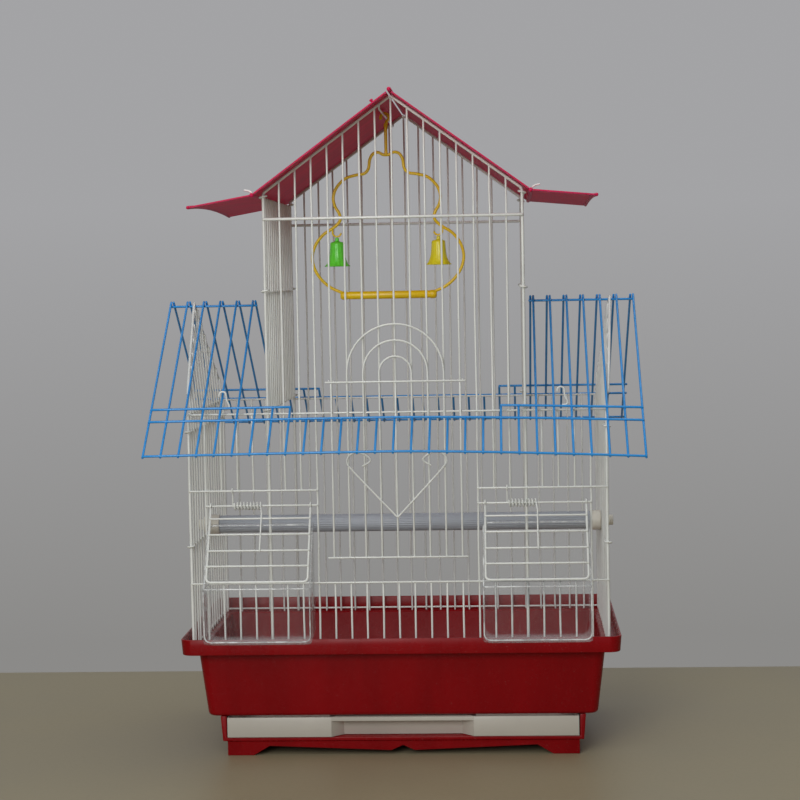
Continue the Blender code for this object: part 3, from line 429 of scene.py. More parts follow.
def moulded_plastic(name, colour, roughness, mottle, streaks=(1.0, 1.0, 1.0), **fixed):
    """Moulded plastic: flow marks in its colour, a faint skin, and rubbed duller patches."""
    made = Shader(name, roughness, **fixed)
    flow = made.noise(9.0, 4.0, stretch=streaks)
    rubbed = made.noise(55.0, 5.0).between(0.5, 0.75)
    dust = made.noise(700.0, 2.0).between(0.68, 0.78)
    dark = linear(colour, 1.0 - mottle)
    light = linear(colour, 1.0 + mottle)
    base = made.mix(flow.between(0.3, 0.7), dark, light)
    base = made.mix(dust * 0.12, base, linear((0.7, 0.68, 0.62)))
    skin = made.noise(260.0, 4.0)
    waves = made.noise(14.0, 2.0)
    scratches = made.noise(70.0, 6.0, 0.7, stretch=(14.0, 14.0, 1.0)).between(0.62, 0.7)
    made.set(made.shader, {
        "Base Color": base,
        "Roughness": rubbed * 0.14 + scratches * 0.1 + dust * 0.15 + (roughness - 0.03),
        "Normal": made.bump(skin * 0.10 + waves * 1.4 - scratches * 0.05, 0.4, 0.0006)})
    return made.material


def extruded_sheet(name, colour):
    """Ribbed soft sheet: fine lines along its slope, stress marks and a satin gloss."""
    made = Shader(name, 0.5, IOR=1.45, Specular_IOR_Level=0.22, Subsurface_Weight=0.8,
                  Subsurface_Radius=(1.0, 0.12, 0.25), Subsurface_Scale=0.004)
    lines = made.node("ShaderNodeTexWave", {"bands_direction": "Y", "wave_profile": "SIN"},
                      {"Vector": made.place(), "Scale": math.tau / (WAVE_UNIT * RIB_PITCH),
                       "Distortion": 0.3, "Detail": 1.0})
    cloud = made.noise(16.0, 4.0, stretch=(1.0, 3.0, 1.0))
    pale = made.noise(60.0, 5.0, stretch=(0.4, 3.0, 0.4)).between(0.62, 0.76)
    base = made.mix(cloud.between(0.3, 0.7), linear(colour, 0.88), linear(colour, 1.1))
    base = made.mix(lines * 0.16, base, linear(colour, 0.72))
    base = made.mix(pale * 0.10, base, linear((0.80, 0.42, 0.50)))
    made.set(made.shader, {
        "Base Color": base,
        "Roughness": pale * 0.15 + cloud * 0.10 + 0.45,
        "Normal": made.bump(lines, 0.25, 0.0002)})
    return made.material


def clear_plastic(name, colour):
    """Thin clear styrene: nearly see-through face on, whiter and stronger at its edges, where the
    opacity paints the reflection seen there.
    """
    made = Shader(name, 0.09, IOR=1.55)
    edge = made.node("ShaderNodeLayerWeight", None, {"Blend": 0.32}, output="Facing")
    scuffs = made.noise(85.0, 6.0, 0.65, stretch=(3.0, 3.0, 1.0)).between(0.56, 0.74)
    haze = made.noise(24.0, 3.0)
    waves = made.noise(42.0, 3.0)
    base = made.mix(scuffs * 0.6, linear(colour), linear(colour, 1.5))
    made.set(made.shader, {
        "Base Color": base,
        "Roughness": scuffs * 0.25 + haze * 0.08 + 0.05,
        # more opaque, so whiter, where a wall is seen edge on: painted reflection
        "Alpha": edge ** 2.4 * 0.70 + scuffs * 0.03 + haze * 0.012 + 0.008,
        "Normal": made.bump(waves, 0.5, 0.0012)})
    return made.material


def clear_lines(name, colour):
    """The thick corners of clear styrene, paler than its walls: partly their thickness, partly
    painted highlight, with painted glints in places.
    """
    made = Shader(name, 0.12, IOR=1.55, Coat_Weight=0.5, Coat_Roughness=0.05)
    # glints: painted highlights, lighter and less see-through in spots along the lines
    glints = made.noise(60.0, 3.0).between(0.45, 0.62)
    made.set(made.shader, {
        "Base Color": made.mix(glints, linear(colour, 0.75), linear(colour)),
        "Roughness": glints * 0.1 + 0.08,
        "Alpha": glints * 0.45 + 0.38})
    return made.material


def ribbed_perch_finish(name, colour):
    """Ribbed tube: dull grey-blue, darker with dirt between its ribs."""
    made = Shader(name, 0.42, IOR=1.47)
    dirt = made.noise(30.0, 5.0, stretch=(0.3, 2.0, 2.0)).between(0.45, 0.8)
    base = made.mix(dirt * 0.6, linear(colour, 1.06), linear(colour, 0.74))
    made.set(made.shader, {
        "Base Color": base,
        "Roughness": dirt * 0.2 + 0.36,
        "Normal": made.bump(made.noise(500.0, 3.0), 0.25, 0.0003)})
    return made.material


FINISHES = {}


def finish(slot):
    """The material for a slot of the record, made once from the scene's colours."""
    if slot not in FINISHES:
        look = bpy.context.scene.bird_cage
        grime = (0.42, 0.36, 0.28)
        makers = {
            "white_wire": lambda: coated_wire("white_coat", look.white, grime),
            "spring_wire": lambda: coated_wire("spring_coat", look.white, grime),
            "blue_wire": lambda: coated_wire("blue_coat", look.blue, (0.10, 0.20, 0.32)),
            "red_plastic": lambda: moulded_plastic(
                "red_tub", look.red, 0.30, 0.10, streaks=(3.0, 3.0, 0.4),
                Specular_IOR_Level=0.14),
            "crimson_plastic": lambda: extruded_sheet("crimson_sheet", look.crimson),
            "white_plastic": lambda: moulded_plastic("white_tray", look.tray, 0.36, 0.04),
            "cream_plastic": lambda: moulded_plastic("cream_caps", look.caps, 0.45, 0.06),
            "clear_plastic": lambda: clear_plastic("clear_cups", (0.52, 0.54, 0.54)),
            "cup_lines": lambda: clear_lines("clear_cup_lines", (0.80, 0.82, 0.82)),
            "perch_plastic": lambda: ribbed_perch_finish("ribbed_perch", look.perch),
            "swing_plastic": lambda: moulded_plastic(
                "amber_swing", look.swing, 0.30, 0.10, Subsurface_Weight=0.12,
                Subsurface_Radius=(0.004, 0.002, 0.0005)),
            "green_plastic": lambda: moulded_plastic(
                "green_bell", look.green, 0.28, 0.10, Subsurface_Weight=0.15,
                Subsurface_Radius=(0.001, 0.004, 0.001)),
            "yellow_plastic": lambda: moulded_plastic(
                "yellow_bell", look.yellow, 0.28, 0.08, Subsurface_Weight=0.15,
                Subsurface_Radius=(0.004, 0.003, 0.0005)),
        }
        FINISHES[slot] = makers[slot]()
    return FINISHES[slot]


def declare(item, slot, body, *nodes):
    """Gives a piece its finish and the body it rides on, and names the solids it stands for."""
    item.data.materials.clear()
    item.data.materials.append(finish(slot))
    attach(item, body)
    if nodes:
        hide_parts(*nodes)
    return item


def placed(name, mesh):
    """A new object in the scene."""
    item = bpy.data.objects.new(name, mesh)
    bpy.context.scene.collection.objects.link(item)
    return item


def smoothed(mesh, below):
    """Shades a mesh smooth, apart from edges that are sharper than an angle in degrees."""
    mesh.shade_smooth()
    mesh.set_sharp_from_angle(angle=math.radians(below))


def from_bmesh(name, bm, smooth_below=SMOOTH_BELOW):
    """Turns what was made in bm into an object."""
    bmesh.ops.recalc_face_normals(bm, faces=bm.faces)
    mesh = bpy.data.meshes.new(name)
    bm.to_mesh(mesh)
    bm.free()
    smoothed(mesh, smooth_below)
    return placed(name, mesh)


def round_wires(name, runs, resolution=2):
    """One object from many round wires, where a run is a list of (place, radius)."""
    curve = bpy.data.curves.new(name, "CURVE")
    curve.dimensions = "3D"
    curve.bevel_depth = 1.0
    curve.bevel_resolution = resolution
    curve.use_fill_caps = True
    for run in runs:
        spline = curve.splines.new("POLY")
        spline.points.add(len(run) - 1)
        for point, (place, radius) in zip(spline.points, run):
            point.co = (*place, 1.0)
            point.radius = radius
    guide = placed(name + "_guide", curve)
    bpy.context.view_layer.update()
    depsgraph = bpy.context.evaluated_depsgraph_get()
    mesh = bpy.data.meshes.new_from_object(guide.evaluated_get(depsgraph))
    bpy.data.objects.remove(guide, do_unlink=True)
    bpy.data.curves.remove(curve)
    bm = bmesh.new()
    bm.from_mesh(mesh)
    bpy.data.meshes.remove(mesh)
    bmesh.ops.remove_doubles(bm, verts=bm.verts, dist=SAME_PLACE)
    return from_bmesh(name, bm, WIRE_SMOOTH)


def circle(degrees, start=0.0):
    """The cosine and the sine of each angle, counted in degrees from a start in radians."""
    angles = [start + math.radians(angle) for angle in degrees]
    return [(math.cos(angle), math.sin(angle)) for angle in angles]


def domed(points, radius):
    """The radius at every point of a wire, drawn in at both ends so that they look dipped."""
    points = [Vector(p) for p in points]
    first = (points[1] - points[0]).normalized()
    last = (points[-2] - points[-1]).normalized()
    start = [(points[0] + first * radius * at, radius * share) for at, share in DOME]
    end = [(points[-1] + last * radius * at, radius * share) for at, share in reversed(DOME)]
    return start + [(p, radius) for p in points[1:-1]] + end


def straight_bar(start, end, radius, welds=(), dice=None):
    """A straight bar whose coat swells at its welds, given as places near it.

    With dice it strays a little sideways between its welds, as drawn wire does.
    """
    start, end = Vector(start), Vector(end)
    length = (end - start).length
    along = (end - start) / length
    marks = sorted((Vector(weld) - start).dot(along) for weld in welds)
    marks = [m for m in marks if WELD_REACH < m < length - WELD_REACH]
    line = domed((start, end), radius)
    middle = []
    stops = [0.0] + marks + [length]
    for before, after in zip(stops, stops[1:]):
        if before:
            middle += [(before - WELD_REACH, 1.0), (before, WELD_SWELL), (before + WELD_REACH, 1.0)]
        if dice and after - before > STRAY_FROM:
            middle.append(((before + after) / 2, 1.0))
    points = []
    for at, swell in middle:
        place = start + along * at
        if dice and swell == 1.0:
            place += Vector((dice.uniform(-STRAY, STRAY), dice.uniform(-STRAY, STRAY), 0.0))
        points.append((place, radius * swell))
    return line[:len(DOME)] + points + line[len(DOME):]


def bent(corners, radius, steps=5):
    """The corners of a wire with each bend drawn as an arc of about this radius."""
    corners = [Vector(c) for c in corners]
    points = [corners[0]]
    for before, corner, after in zip(corners, corners[1:], corners[2:]):
        to_before, to_after = before - corner, after - corner
        turn = to_before.angle(to_after)
        reach = min(radius / max(math.tan(turn / 2), BEND_LEAST),
                    BEND_SHARE * to_before.length, BEND_SHARE * to_after.length)
        first = corner + to_before.normalized() * reach
        last = corner + to_after.normalized() * reach
        for step in range(steps + 1):
            t = step / steps
            points.append(first * (1 - t) ** 2 + corner * 2 * t * (1 - t) + last * t ** 2)
    return points + [corners[-1]]


def flowing(points, steps):
    """A smooth line through all the points."""
    points = [Vector(p) for p in points]
    padded = [2 * points[0] - points[1]] + points + [2 * points[-1] - points[-2]]
    line = []
    for a, b, c, d in zip(padded, padded[1:], padded[2:], padded[3:]):
        for step in range(steps):
            t = step / steps
            line.append(0.5 * (2 * b + (c - a) * t + (2 * a - 5 * b + 4 * c - d) * t ** 2
                               + (3 * b - a - 3 * c + d) * t ** 3))
    return line + [points[-1]]


def rounded_copy(name, node, width, angle=ROUNDED_FROM):
    """A copy of a solid whose sharp edges are rounded off, as a mould leaves them."""
    mesh = frame["nodes"][node].data.copy()
    item = placed(name, mesh)
    bm = bmesh.new()
    bm.from_mesh(mesh)
    bmesh.ops.remove_doubles(bm, verts=bm.verts, dist=SAME_CORNER)
    bmesh.ops.dissolve_limit(bm, angle_limit=math.radians(FLAT_BELOW), verts=bm.verts,
                             edges=bm.edges)
    bm.to_mesh(mesh)
    bm.free()
    if "custom_normal" in mesh.attributes:
        mesh.attributes.remove(mesh.attributes["custom_normal"])
    bevel = item.modifiers.new("rounded edges", "BEVEL")
    bevel.width = width
    bevel.segments = 2
    bevel.limit_method = "ANGLE"
    bevel.angle_limit = math.radians(angle)
    bpy.context.view_layer.update()
    depsgraph = bpy.context.evaluated_depsgraph_get()
    done = bpy.data.meshes.new_from_object(item.evaluated_get(depsgraph))
    item.modifiers.clear()
    item.data = done
    bpy.data.meshes.remove(mesh)
    done.name = name
    smoothed(done, SMOOTH_BELOW)
    return item


def rounded_ring(half_x, half_y, radius, z):
    """A rectangle with round corners at one height, for a loft."""
    ring = []
    for quarter, (sx, sy) in enumerate(((1, 1), (-1, 1), (-1, -1), (1, -1))):
        for step in range(CORNER_STEPS + 1):
            angle = math.radians(90 * (quarter + step / CORNER_STEPS))
            ring.append(Vector((sx * (half_x - radius) + radius * math.cos(angle),
                                sy * (half_y - radius) + radius * math.sin(angle), z)))
    return ring


def add_loft(bm, rings, closed=False):
    """Skins rings of equal point counts. A closed loft joins its last ring to its first."""
    loops = [[bm.verts.new(p) for p in ring] for ring in rings]
    pairs = list(zip(loops, loops[1:])) + ([(loops[-1], loops[0])] if closed else [])
    for low, high in pairs:
        for k in range(len(low)):
            nxt = (k + 1) % len(low)
            bm.faces.new((low[k], low[nxt], high[nxt], high[k]))
    if not closed:
        bm.faces.new(reversed(loops[0]))
        bm.faces.new(loops[-1])


def turned_rings(profile, place, sides, flutes):
    """Rings of a turned shape from (radius, height) pairs; flutes changes the radius by angle."""
    rings = []
    for radius, height in profile:
        ring = []
        for k in range(sides):
            angle = math.tau * k / sides
            r = radius * flutes(angle, height)
            ring.append(place + Vector((r * math.cos(angle), r * math.sin(angle), height)))
        rings.append(ring)
    return rings


BODY = {node: body for body, nodes in frame["record"]["behaviour"]["bodies"].items()
        for node in nodes}
DICE = random.Random(11)


def build_tub():
    """The red tub: a tapered body, a ledge for the panels, and an upright rim."""
    wall, top = TUB_WALL, Z_LEDGE + RIM_H
    body_top = (HOUSE_HALF - TUB_INSET, HALF_DEPTH - TUB_INSET)
    body_foot = (body_top[0] - TUB_TAPER, body_top[1] - TUB_TAPER)
    rim = (HOUSE_HALF + RIM_MARGIN, HALF_DEPTH + RIM_MARGIN)
    under, foot, edge = Z_LEDGE - wall, TUB_FOOT_ROUND, TUB_EDGE
    foot_out, body_out, under_out, rim_out = TUB_CORNERS_OUT
    rim_in, ledge_in, body_in, foot_in = TUB_CORNERS_IN
    rings = [rounded_ring(*HOLE_HALF, HOLE_CORNER, Z_TUB)]

    def add(half, inset, radius, z):
        rings.append(rounded_ring(half[0] - inset, half[1] - inset, radius, z))

    def turn(half, inset, radius, z, start, stop, reach):
        """A rounded edge: an arc in the wall's section, from one angle to another."""
        degrees = (start + (stop - start) * step / TUB_EDGE_STEPS
                   for step in range(TUB_EDGE_STEPS + 1))
        for c, s in circle(degrees):
            add(half, inset - reach * c, radius, z + reach * s)

    turn(body_foot, foot, foot_out, Z_TUB + foot, -90, TUB_WALL_TURN, foot)
    add(body_top, 0.0, body_out, under - edge)
    add(body_top, -edge, under_out, under)
    turn(rim, TUB_LEAN + edge, under_out, under + edge, -90, 0, edge)
    turn(rim, edge, rim_out, top - edge, 0, 180, edge)
    add(rim, wall, rim_in, Z_LEDGE + edge)
    add(rim, wall + edge, ledge_in, Z_LEDGE)
    add(body_top, wall - edge, ledge_in, Z_LEDGE)
    add(body_top, wall, body_in, Z_LEDGE - edge)
    turn(body_foot, wall + foot, foot_in, Z_TUB + wall + foot, 0, -90, foot)
    rings.append(rounded_ring(*HOLE_HALF, HOLE_CORNER, Z_TUB + wall))
    bm = bmesh.new()
    add_loft(bm, rings, closed=True)
    declare(from_bmesh("red_tub", bm, TUB_SMOOTH), "red_plastic", BODY["tub"], "tub")


def build_foot_frame(look):
    """The red frame under the tub, with its cut-out skirt."""
    item = rounded_copy("red_foot_frame", "foot_frame", look.plastic_edge)
    declare(item, "red_plastic", BODY["foot_frame"], "foot_frame")


def build_tray(look):
    """The droppings tray, whose edges are a little sharper than the frame's."""
    item = rounded_copy("white_tray", "droppings_tray", look.plastic_edge * TRAY_EDGE)
    declare(item, "white_plastic", BODY["droppings_tray"], "droppings_tray")


def build_floor_grille():
    """Wires across the hole in the tub's floor, with three more over them."""
    half_x, half_y = GRILLE_HALF
    z = Z_TUB + TUB_WALL + GAP + WIRE
    over = z + 2 * BITE * WIRE
    reach = half_y - GRILLE_MARGIN
    ys = [-reach + reach * k for k in range(GRILLE_SPACES[1] + 1)]
    runs = []
    for k in range(GRILLE_SPACES[0] + 1):
        x = -half_x + 2 * half_x / GRILLE_SPACES[0] * k
        runs.append(straight_bar((x, -half_y, z), (x, half_y, z), WIRE, [(x, y, z) for y in ys]))
    end = half_x + OVERSHOOT
    runs += [level_bar(-end, end, y, over) for y in ys]
    declare(round_wires("wire_floor", runs), "white_wire", BODY["floor_grille"], "floor_grille")


def gable_z(x):
    """The height of the gable wire's axis at x."""
    return Z_APEX - GABLE_SLOPE * abs(x)


def tower_frame(y):
    """The thick wire of a tower: up one post, over the gable, and down the other post."""
    foot = Z_LEDGE + GAP
    corners = [(-TOWER_HALF, y, foot), (-TOWER_HALF, y, gable_z(TOWER_HALF)), (0, y, Z_APEX),
               (TOWER_HALF, y, gable_z(TOWER_HALF)), (TOWER_HALF, y, foot)]
    return domed(bent(corners, GABLE_BEND, steps=6), POST)


def front_spans(index):
    """The heights between which a front bar runs, leaving the openings free."""
    bar = abs(index)
    foot, top = Z_LEDGE + GAP, Z_SHOULDER + OVERSHOOT
    if bar <= TOWER_BARS:
        top = gable_z(index * PITCH)
    if bar <= DOOR_BARS:
        return [(foot, Z_SILL + OVERSHOOT), (Z_SHOULDER - OVERSHOOT, top)]
    if FEED_IN < bar < FEED_OUT:
        return [(foot, Z_SILL + OVERSHOOT), (Z_FEED_RAIL - OVERSHOOT, top)]
    return [(foot, top)]


def upright(x, y, low, high, radius, heights):
    """An upright bar, welded to the rails at the given heights that it passes."""
    welds = [(x, y, z) for z in heights if low < z < high]
    return straight_bar((x, y, low), (x, y, high), radius, welds, DICE)


def level_bar(low_x, high_x, y, z, radius=WIRE):
    """A level bar from side to side, with its ends in either order."""
    low_x, high_x = sorted((low_x, high_x))
    return straight_bar((low_x, y, z), (high_x, y, z), radius)


def build_front_panel():
    """The front grille, with openings for the door and both feeders."""
    y, rail_y = -HALF_DEPTH, -HALF_DEPTH - RAIL_OFF
    across = (Z_LEDGE + FOOT_RAIL, Z_SILL, Z_FEED_ROD, Z_FEED_RAIL, Z_SHOULDER, Z_TOWER_RAIL)
    runs = [tower_frame(y)]
    for index in range(-HOUSE_BARS, HOUSE_BARS + 1):
        if abs(index) == TOWER_BARS:
            continue
        radius = POST if abs(index) == HOUSE_BARS else WIRE
        outer = abs(index) > FEED_OUT
        heights = [z for z in across if z not in (Z_FEED_ROD, Z_FEED_RAIL) or not outer]
        for low, high in front_spans(index):
            runs.append(upright(index * PITCH, y, low, high, radius, heights))
    out = HOUSE_HALF + OVERSHOOT
    runs += [level_bar(-out, out, rail_y, z) for z in (across[0], Z_SILL, Z_SHOULDER)]
    tower = TOWER_HALF + OVERSHOOT
    runs.append(level_bar(-tower, tower, y - POST_RAIL_OFF, Z_TOWER_RAIL, POST))
    for side in (-1, 1):
        inner = side * (FEED_IN * PITCH - OVERSHOOT)
        runs.append(level_bar(inner, side * out, rail_y, Z_FEED_RAIL))
        runs.append(level_bar(inner, side * (FEED_OUT * PITCH + OVERSHOOT), rail_y, Z_FEED_ROD))
    declare(round_wires("front_wires", runs), "white_wire", BODY["front_panel"], "front_panel")


def build_back_panel():
    """The back grille, with bars from the tub up to the gable."""
    y, rail_y = HALF_DEPTH, HALF_DEPTH + RAIL_OFF
    across = (Z_LEDGE + FOOT_RAIL, Z_SHOULDER)
    runs = [tower_frame(y)]
    for index in range(-HOUSE_BARS, HOUSE_BARS + 1):
        if abs(index) == TOWER_BARS:
            continue
        x = index * PITCH
        top = gable_z(x) if abs(index) < TOWER_BARS else Z_SHOULDER + OVERSHOOT
        radius = POST if abs(index) == HOUSE_BARS else WIRE
        runs.append(upright(x, y, Z_LEDGE + GAP, top, radius, (*across, Z_TOWER_RAIL)))
    out, tower = HOUSE_HALF + OVERSHOOT, TOWER_HALF + OVERSHOOT
    runs += [level_bar(-out, out, rail_y, z) for z in across]
    runs.append(level_bar(-tower, tower, y + POST_RAIL_OFF, Z_TOWER_RAIL, POST))
    declare(round_wires("back_wires", runs), "white_wire", BODY["back_panel"], "back_panel")


def side_ys():
    """Where the bars of a side stand, between the corner posts."""
    step = 2 * HALF_DEPTH / SIDE_SPACES
    return [-HALF_DEPTH + step * k for k in range(1, SIDE_SPACES)]


def eyed_rail(x, side, z):
    """A side rail whose ends are bent into eyes round the front and the back corner posts."""
    rail_x = x + side * RAIL_OFF
    eye = POST + EYE_PLAY + WIRE
    start = math.acos(RAIL_OFF / eye)
    points = []
    for end in (-1, 1):
        turn = []
        for step in range(EYE_STEPS + 1):
            angle = -start + (math.radians(EYE_TURN) + start) * step / EYE_STEPS
            rise = EYE_RISE * step / EYE_STEPS
            turn.append(Vector((x + side * eye * math.cos(angle),
                                end * (HALF_DEPTH + eye * math.sin(angle)), z + rise)))
        if end < 0:
            points += list(reversed(turn)) + [Vector((rail_x, -HALF_DEPTH + EYE_FROM, z))]
        else:
            points += [Vector((rail_x, HALF_DEPTH - EYE_FROM, z))] + turn
    return domed(points, WIRE)


def sag(x, sign):
    """How many radians a blue bar hangs lower than on a flat roof."""
    left, middle, right = BLUE_SAG[sign > 0]
    return middle + ((right if x > 0 else left) - middle) * (abs(x) / BLUE_HALF) ** BLUE_SAG_POWER


def blue_place(x, out, lift, sign):
    """A point of a blue roof: out from the ridge, and lifted square to the bar there."""
    angle = math.atan(BLUE_SLOPE) + sag(x, sign)
    along = out * math.hypot(1, BLUE_SLOPE)
    return Vector((x, sign * (along * math.cos(angle) + lift * math.sin(angle)),
                   Z_RIDGE - along * math.sin(angle) + lift * math.cos(angle)))


def gable_point(side, y):
    """A point of a side gable's wire, whose tip leans out and over the ridge wire."""
    x = side * HOUSE_HALF
    slope = math.tan(math.atan(BLUE_SLOPE) + sag(x, y))
    drop = (BLUE + GAP) * math.hypot(1, slope) + GABLE_WIRE
    rise = LEAN_UP * max(0.0, 1 - abs(y) / LEAN_SPAN) ** LEAN_UP_POWER
    out = LEAN_OUT * max(0.0, 1 - abs(y) / HALF_DEPTH) ** LEAN_OUT_POWER
    return Vector((x + side * out, y, Z_RIDGE - drop - slope * abs(y) + rise))


def build_side_panels():
    """The house's two sides: bars up to a gable wire, and rails with eyes on the posts."""
    ys = side_ys()
    end = ys[-1] + OVERSHOOT
    for name, side in (("side_panel_left", -1), ("side_panel_right", 1)):
        x = side * HOUSE_HALF
        rail_x = x + side * RAIL_OFF
        heights = (Z_LEDGE + FOOT_RAIL, *SIDE_RAILS, Z_SHOULDER)
        seated = side * BITE * (WIRE + GABLE_WIRE)
        runs = []
        for y in ys:
            top = gable_point(side, y) + Vector((-seated, 0, OVERSHOOT))
            foot = upright(x, y, Z_LEDGE + GAP, Z_SHOULDER, WIRE, heights)
            head = domed([(x, y, Z_SHOULDER), (x, y, Z_SHOULDER + KINK), top], WIRE)
            runs.append(foot[:-len(DOME)] + head[len(DOME) - 1:])
        runs += [straight_bar((rail_x, -end, z), (rail_x, end, z), WIRE)
                 for z in (heights[0], Z_SHOULDER)]
        runs += [eyed_rail(x, side, z) for z in SIDE_RAILS]
        gable = [gable_point(side, end * k / GABLE_STEPS)
                 for k in range(-GABLE_STEPS, GABLE_STEPS + 1)]
        runs.append(domed(gable, GABLE_WIRE))
        declare(round_wires(name + "_wires", runs), "white_wire", BODY[name], name)


def build_tower_sides():
    """The tower's two sides."""
    for name, side in (("tower_side_left", -1), ("tower_side_right", 1)):
        x = side * TOWER_HALF
        low, high = TOWER_SIDE_RAILS[0] - OVERSHOOT, TOWER_SIDE_RAILS[-1] + OVERSHOOT
        runs = [upright(x, y, low, high, WIRE, TOWER_SIDE_RAILS) for y in side_ys()]
        runs += [eyed_rail(x, side, z) for z in TOWER_SIDE_RAILS]
        declare(round_wires(name + "_wires", runs), "white_wire", BODY[name], name)


def blue_line(low_x, high_x, out, lift, sign):
    """A cross wire of a blue roof, bowed as the bars under it hang."""
    count = max(2, round(abs(high_x - low_x) / BOW_STEP))
    xs = [low_x + (high_x - low_x) * k / count for k in range(count + 1)]
    return domed([blue_place(x, out, lift, sign) for x in xs], BLUE)


def build_blue_roofs():
    """Both blue wire roofs and the two ridge wires that they hang over."""
    half = BLUE_SPACES // 2
    lift = 2 * BLUE + GAP
    over = lift + 2 * BITE * BLUE
    for name, sign in (("blue_roof_front", -1), ("blue_roof_back", 1)):
        shift = 0.0 if sign < 0 else 2 * BLUE + RUN
        runs = []
        for index in range(BLUE_SPACES + 1):
            x = (index - half) * BLUE_PITCH + (shift if index <= half else -shift)
            ends = BLUE_SPACES - index
            crossed = [EAVE_OUT, BAND_OUT[1]]
            if index < RIDGE_FULL[0] or ends < RIDGE_FULL[1]:
                start = -TIP
                crossed += [BAND_OUT[0], 0.0]
            elif index < BAND_FULL[0] or ends < BAND_FULL[1]:
                start = BAND_OUT[0] - OVERSHOOT
            else:
                start = BAND_OUT[1] - OVERSHOOT
            runs.append(straight_bar(
                blue_place(x, start, lift, sign), blue_place(x, EAVE_OUT + OVERSHOOT, lift, sign),
                BLUE, [blue_place(x, out, lift, sign) for out in crossed]))
        out = BLUE_HALF + OVERSHOOT
        runs += [blue_line(-out, out, place, over, sign) for place in (BAND_OUT[1], EAVE_OUT)]
        for side, count in zip((-1, 1), BAND_FULL):
            inner = side * ((half - count + 1) * BLUE_PITCH - OVERSHOOT - shift)
            runs.append(blue_line(side * out, inner, BAND_OUT[0], over, sign))
        declare(round_wires(name + "_wires", runs), "blue_wire", BODY[name], name)
    for name, side, count in (("blue_ridge_left", -1, RIDGE_FULL[0]),
                              ("blue_ridge_right", 1, RIDGE_FULL[1])):
        outer = side * (BLUE_HALF + OVERSHOOT)
        inner = side * ((half - count + 1) * BLUE_PITCH - RIDGE_SHORT)
        run = straight_bar((outer, 0, Z_RIDGE), (inner, 0, Z_RIDGE), BLUE, (), DICE)
        declare(round_wires(name + "_wire", [run]), "blue_wire", BODY[name], name)


def rod_z():
    """The height of the rod at the apex, which rests on both gables."""
    return Z_APEX + GABLE_WIRE * math.hypot(1, GABLE_SLOPE) + GAP + ROD


def roof_line(x):
    """The height of the crimson roof's middle surface."""
    under = (GABLE_WIRE + GAP + ROOF_T / 2) * math.hypot(1, GABLE_SLOPE)
    return Z_APEX + under - GABLE_SLOPE * abs(x)


def ribbed_sheet(name, start, end, rise=0.0):
    """A sheet from one line along Y to another, with fine ribs that run down its slope.

    Its far edge can rise in the middle, as a sprung sheet does.
    """
    columns, per_rib = 9, 4
    rows = round(2 * ROOF_HALF / RIB_PITCH) * per_rib
    along = (Vector(end) - Vector(start)).normalized()
    off = Vector((-along.y, along.x))
    if off.y < 0:
        off = -off
    bm = bmesh.new()
    layers = []
    for side in (1, -1):
        layer = []
        for row in range(rows + 1):
            y = -ROOF_HALF + 2 * ROOF_HALF * row / rows
            dip = RIB_DEPTH * (1 - math.cos(math.tau * row / per_rib)) / 2
            line = []
            for column in range(columns + 1):
                share = column / columns
                place = Vector(start).lerp(Vector(end), share) + off * side * (ROOF_T / 2 - dip)
                bow = rise * share ** 2 * (1 - (y / ROOF_HALF) ** 2)
                line.append(bm.verts.new((place.x, y, place.y + bow)))
            layer.append(line)
        layers.append(layer)
    for layer in layers:
        for near, far in zip(layer, layer[1:]):
            for k in range(columns):
                bm.faces.new((near[k], near[k + 1], far[k + 1], far[k]))
    top, bottom = layers
    for row in range(rows):
        for k in (0, columns):
            bm.faces.new((top[row][k], top[row + 1][k], bottom[row + 1][k], bottom[row][k]))
    for row in (0, rows):
        for k in range(columns):
            bm.faces.new((top[row][k], top[row][k + 1], bottom[row][k + 1], bottom[row][k]))
    return from_bmesh(name, bm, SHEET_SMOOTH)


def build_crimson_roof():
    """Both slopes, both eave flaps with their beads, and the rod at the apex."""
    first, last = ROD + GAP, BEND_X - (ROD + GAP) / math.hypot(1, GABLE_SLOPE)
    reach = ROOF_HALF + BEAD_PAST
    for side, sign in (("left", -1), ("right", 1)):
        slope = ribbed_sheet("crimson_slope_" + side, (sign * first, roof_line(first)),
                             (sign * last, roof_line(last)))
        node = "roof_slope_" + side
        declare(slope, "crimson_plastic", BODY[node], node)
        hinge = Vector((sign * BEND_X, roof_line(BEND_X)))
        drop, rise = FLARE_DROP[side], FLARE_RISE[side]
        outer = hinge + Vector((sign * math.cos(drop), -math.sin(drop))) * FLARE
        node = "roof_flare_" + side
        flare = ribbed_sheet("crimson_flap_" + side, tuple(hinge), tuple(outer), rise)
        declare(flare, "crimson_plastic", BODY[node], node)
        beads = []
        for spot, radius, bow in ((hinge, ROD, 0.0), (outer, ROD * OUTER_BEAD, rise)):
            ys = [-reach + 2 * reach * k / BEAD_STEPS for k in range(BEAD_STEPS + 1)]
            beads.append(domed([(spot.x, y, spot.y + bow * (1 - (y / reach) ** 2)) for y in ys],
                               radius))
        beads = round_wires("crimson_beads_" + side, beads, resolution=3)
        declare(beads, "crimson_plastic", BODY[node])
    rod = domed([(0, -ROOF_HALF, rod_z()), (0, ROOF_HALF, rod_z())], ROD)
    declare(round_wires("apex_rod", [rod], resolution=3), "crimson_plastic",
            BODY["roof_hinge_rod"], "roof_hinge_rod")


def door_plane():
    """Where the door's bars slide, in front of the front grille."""
    return -HALF_DEPTH - RAIL_OFF - WIRE - RUN - WIRE


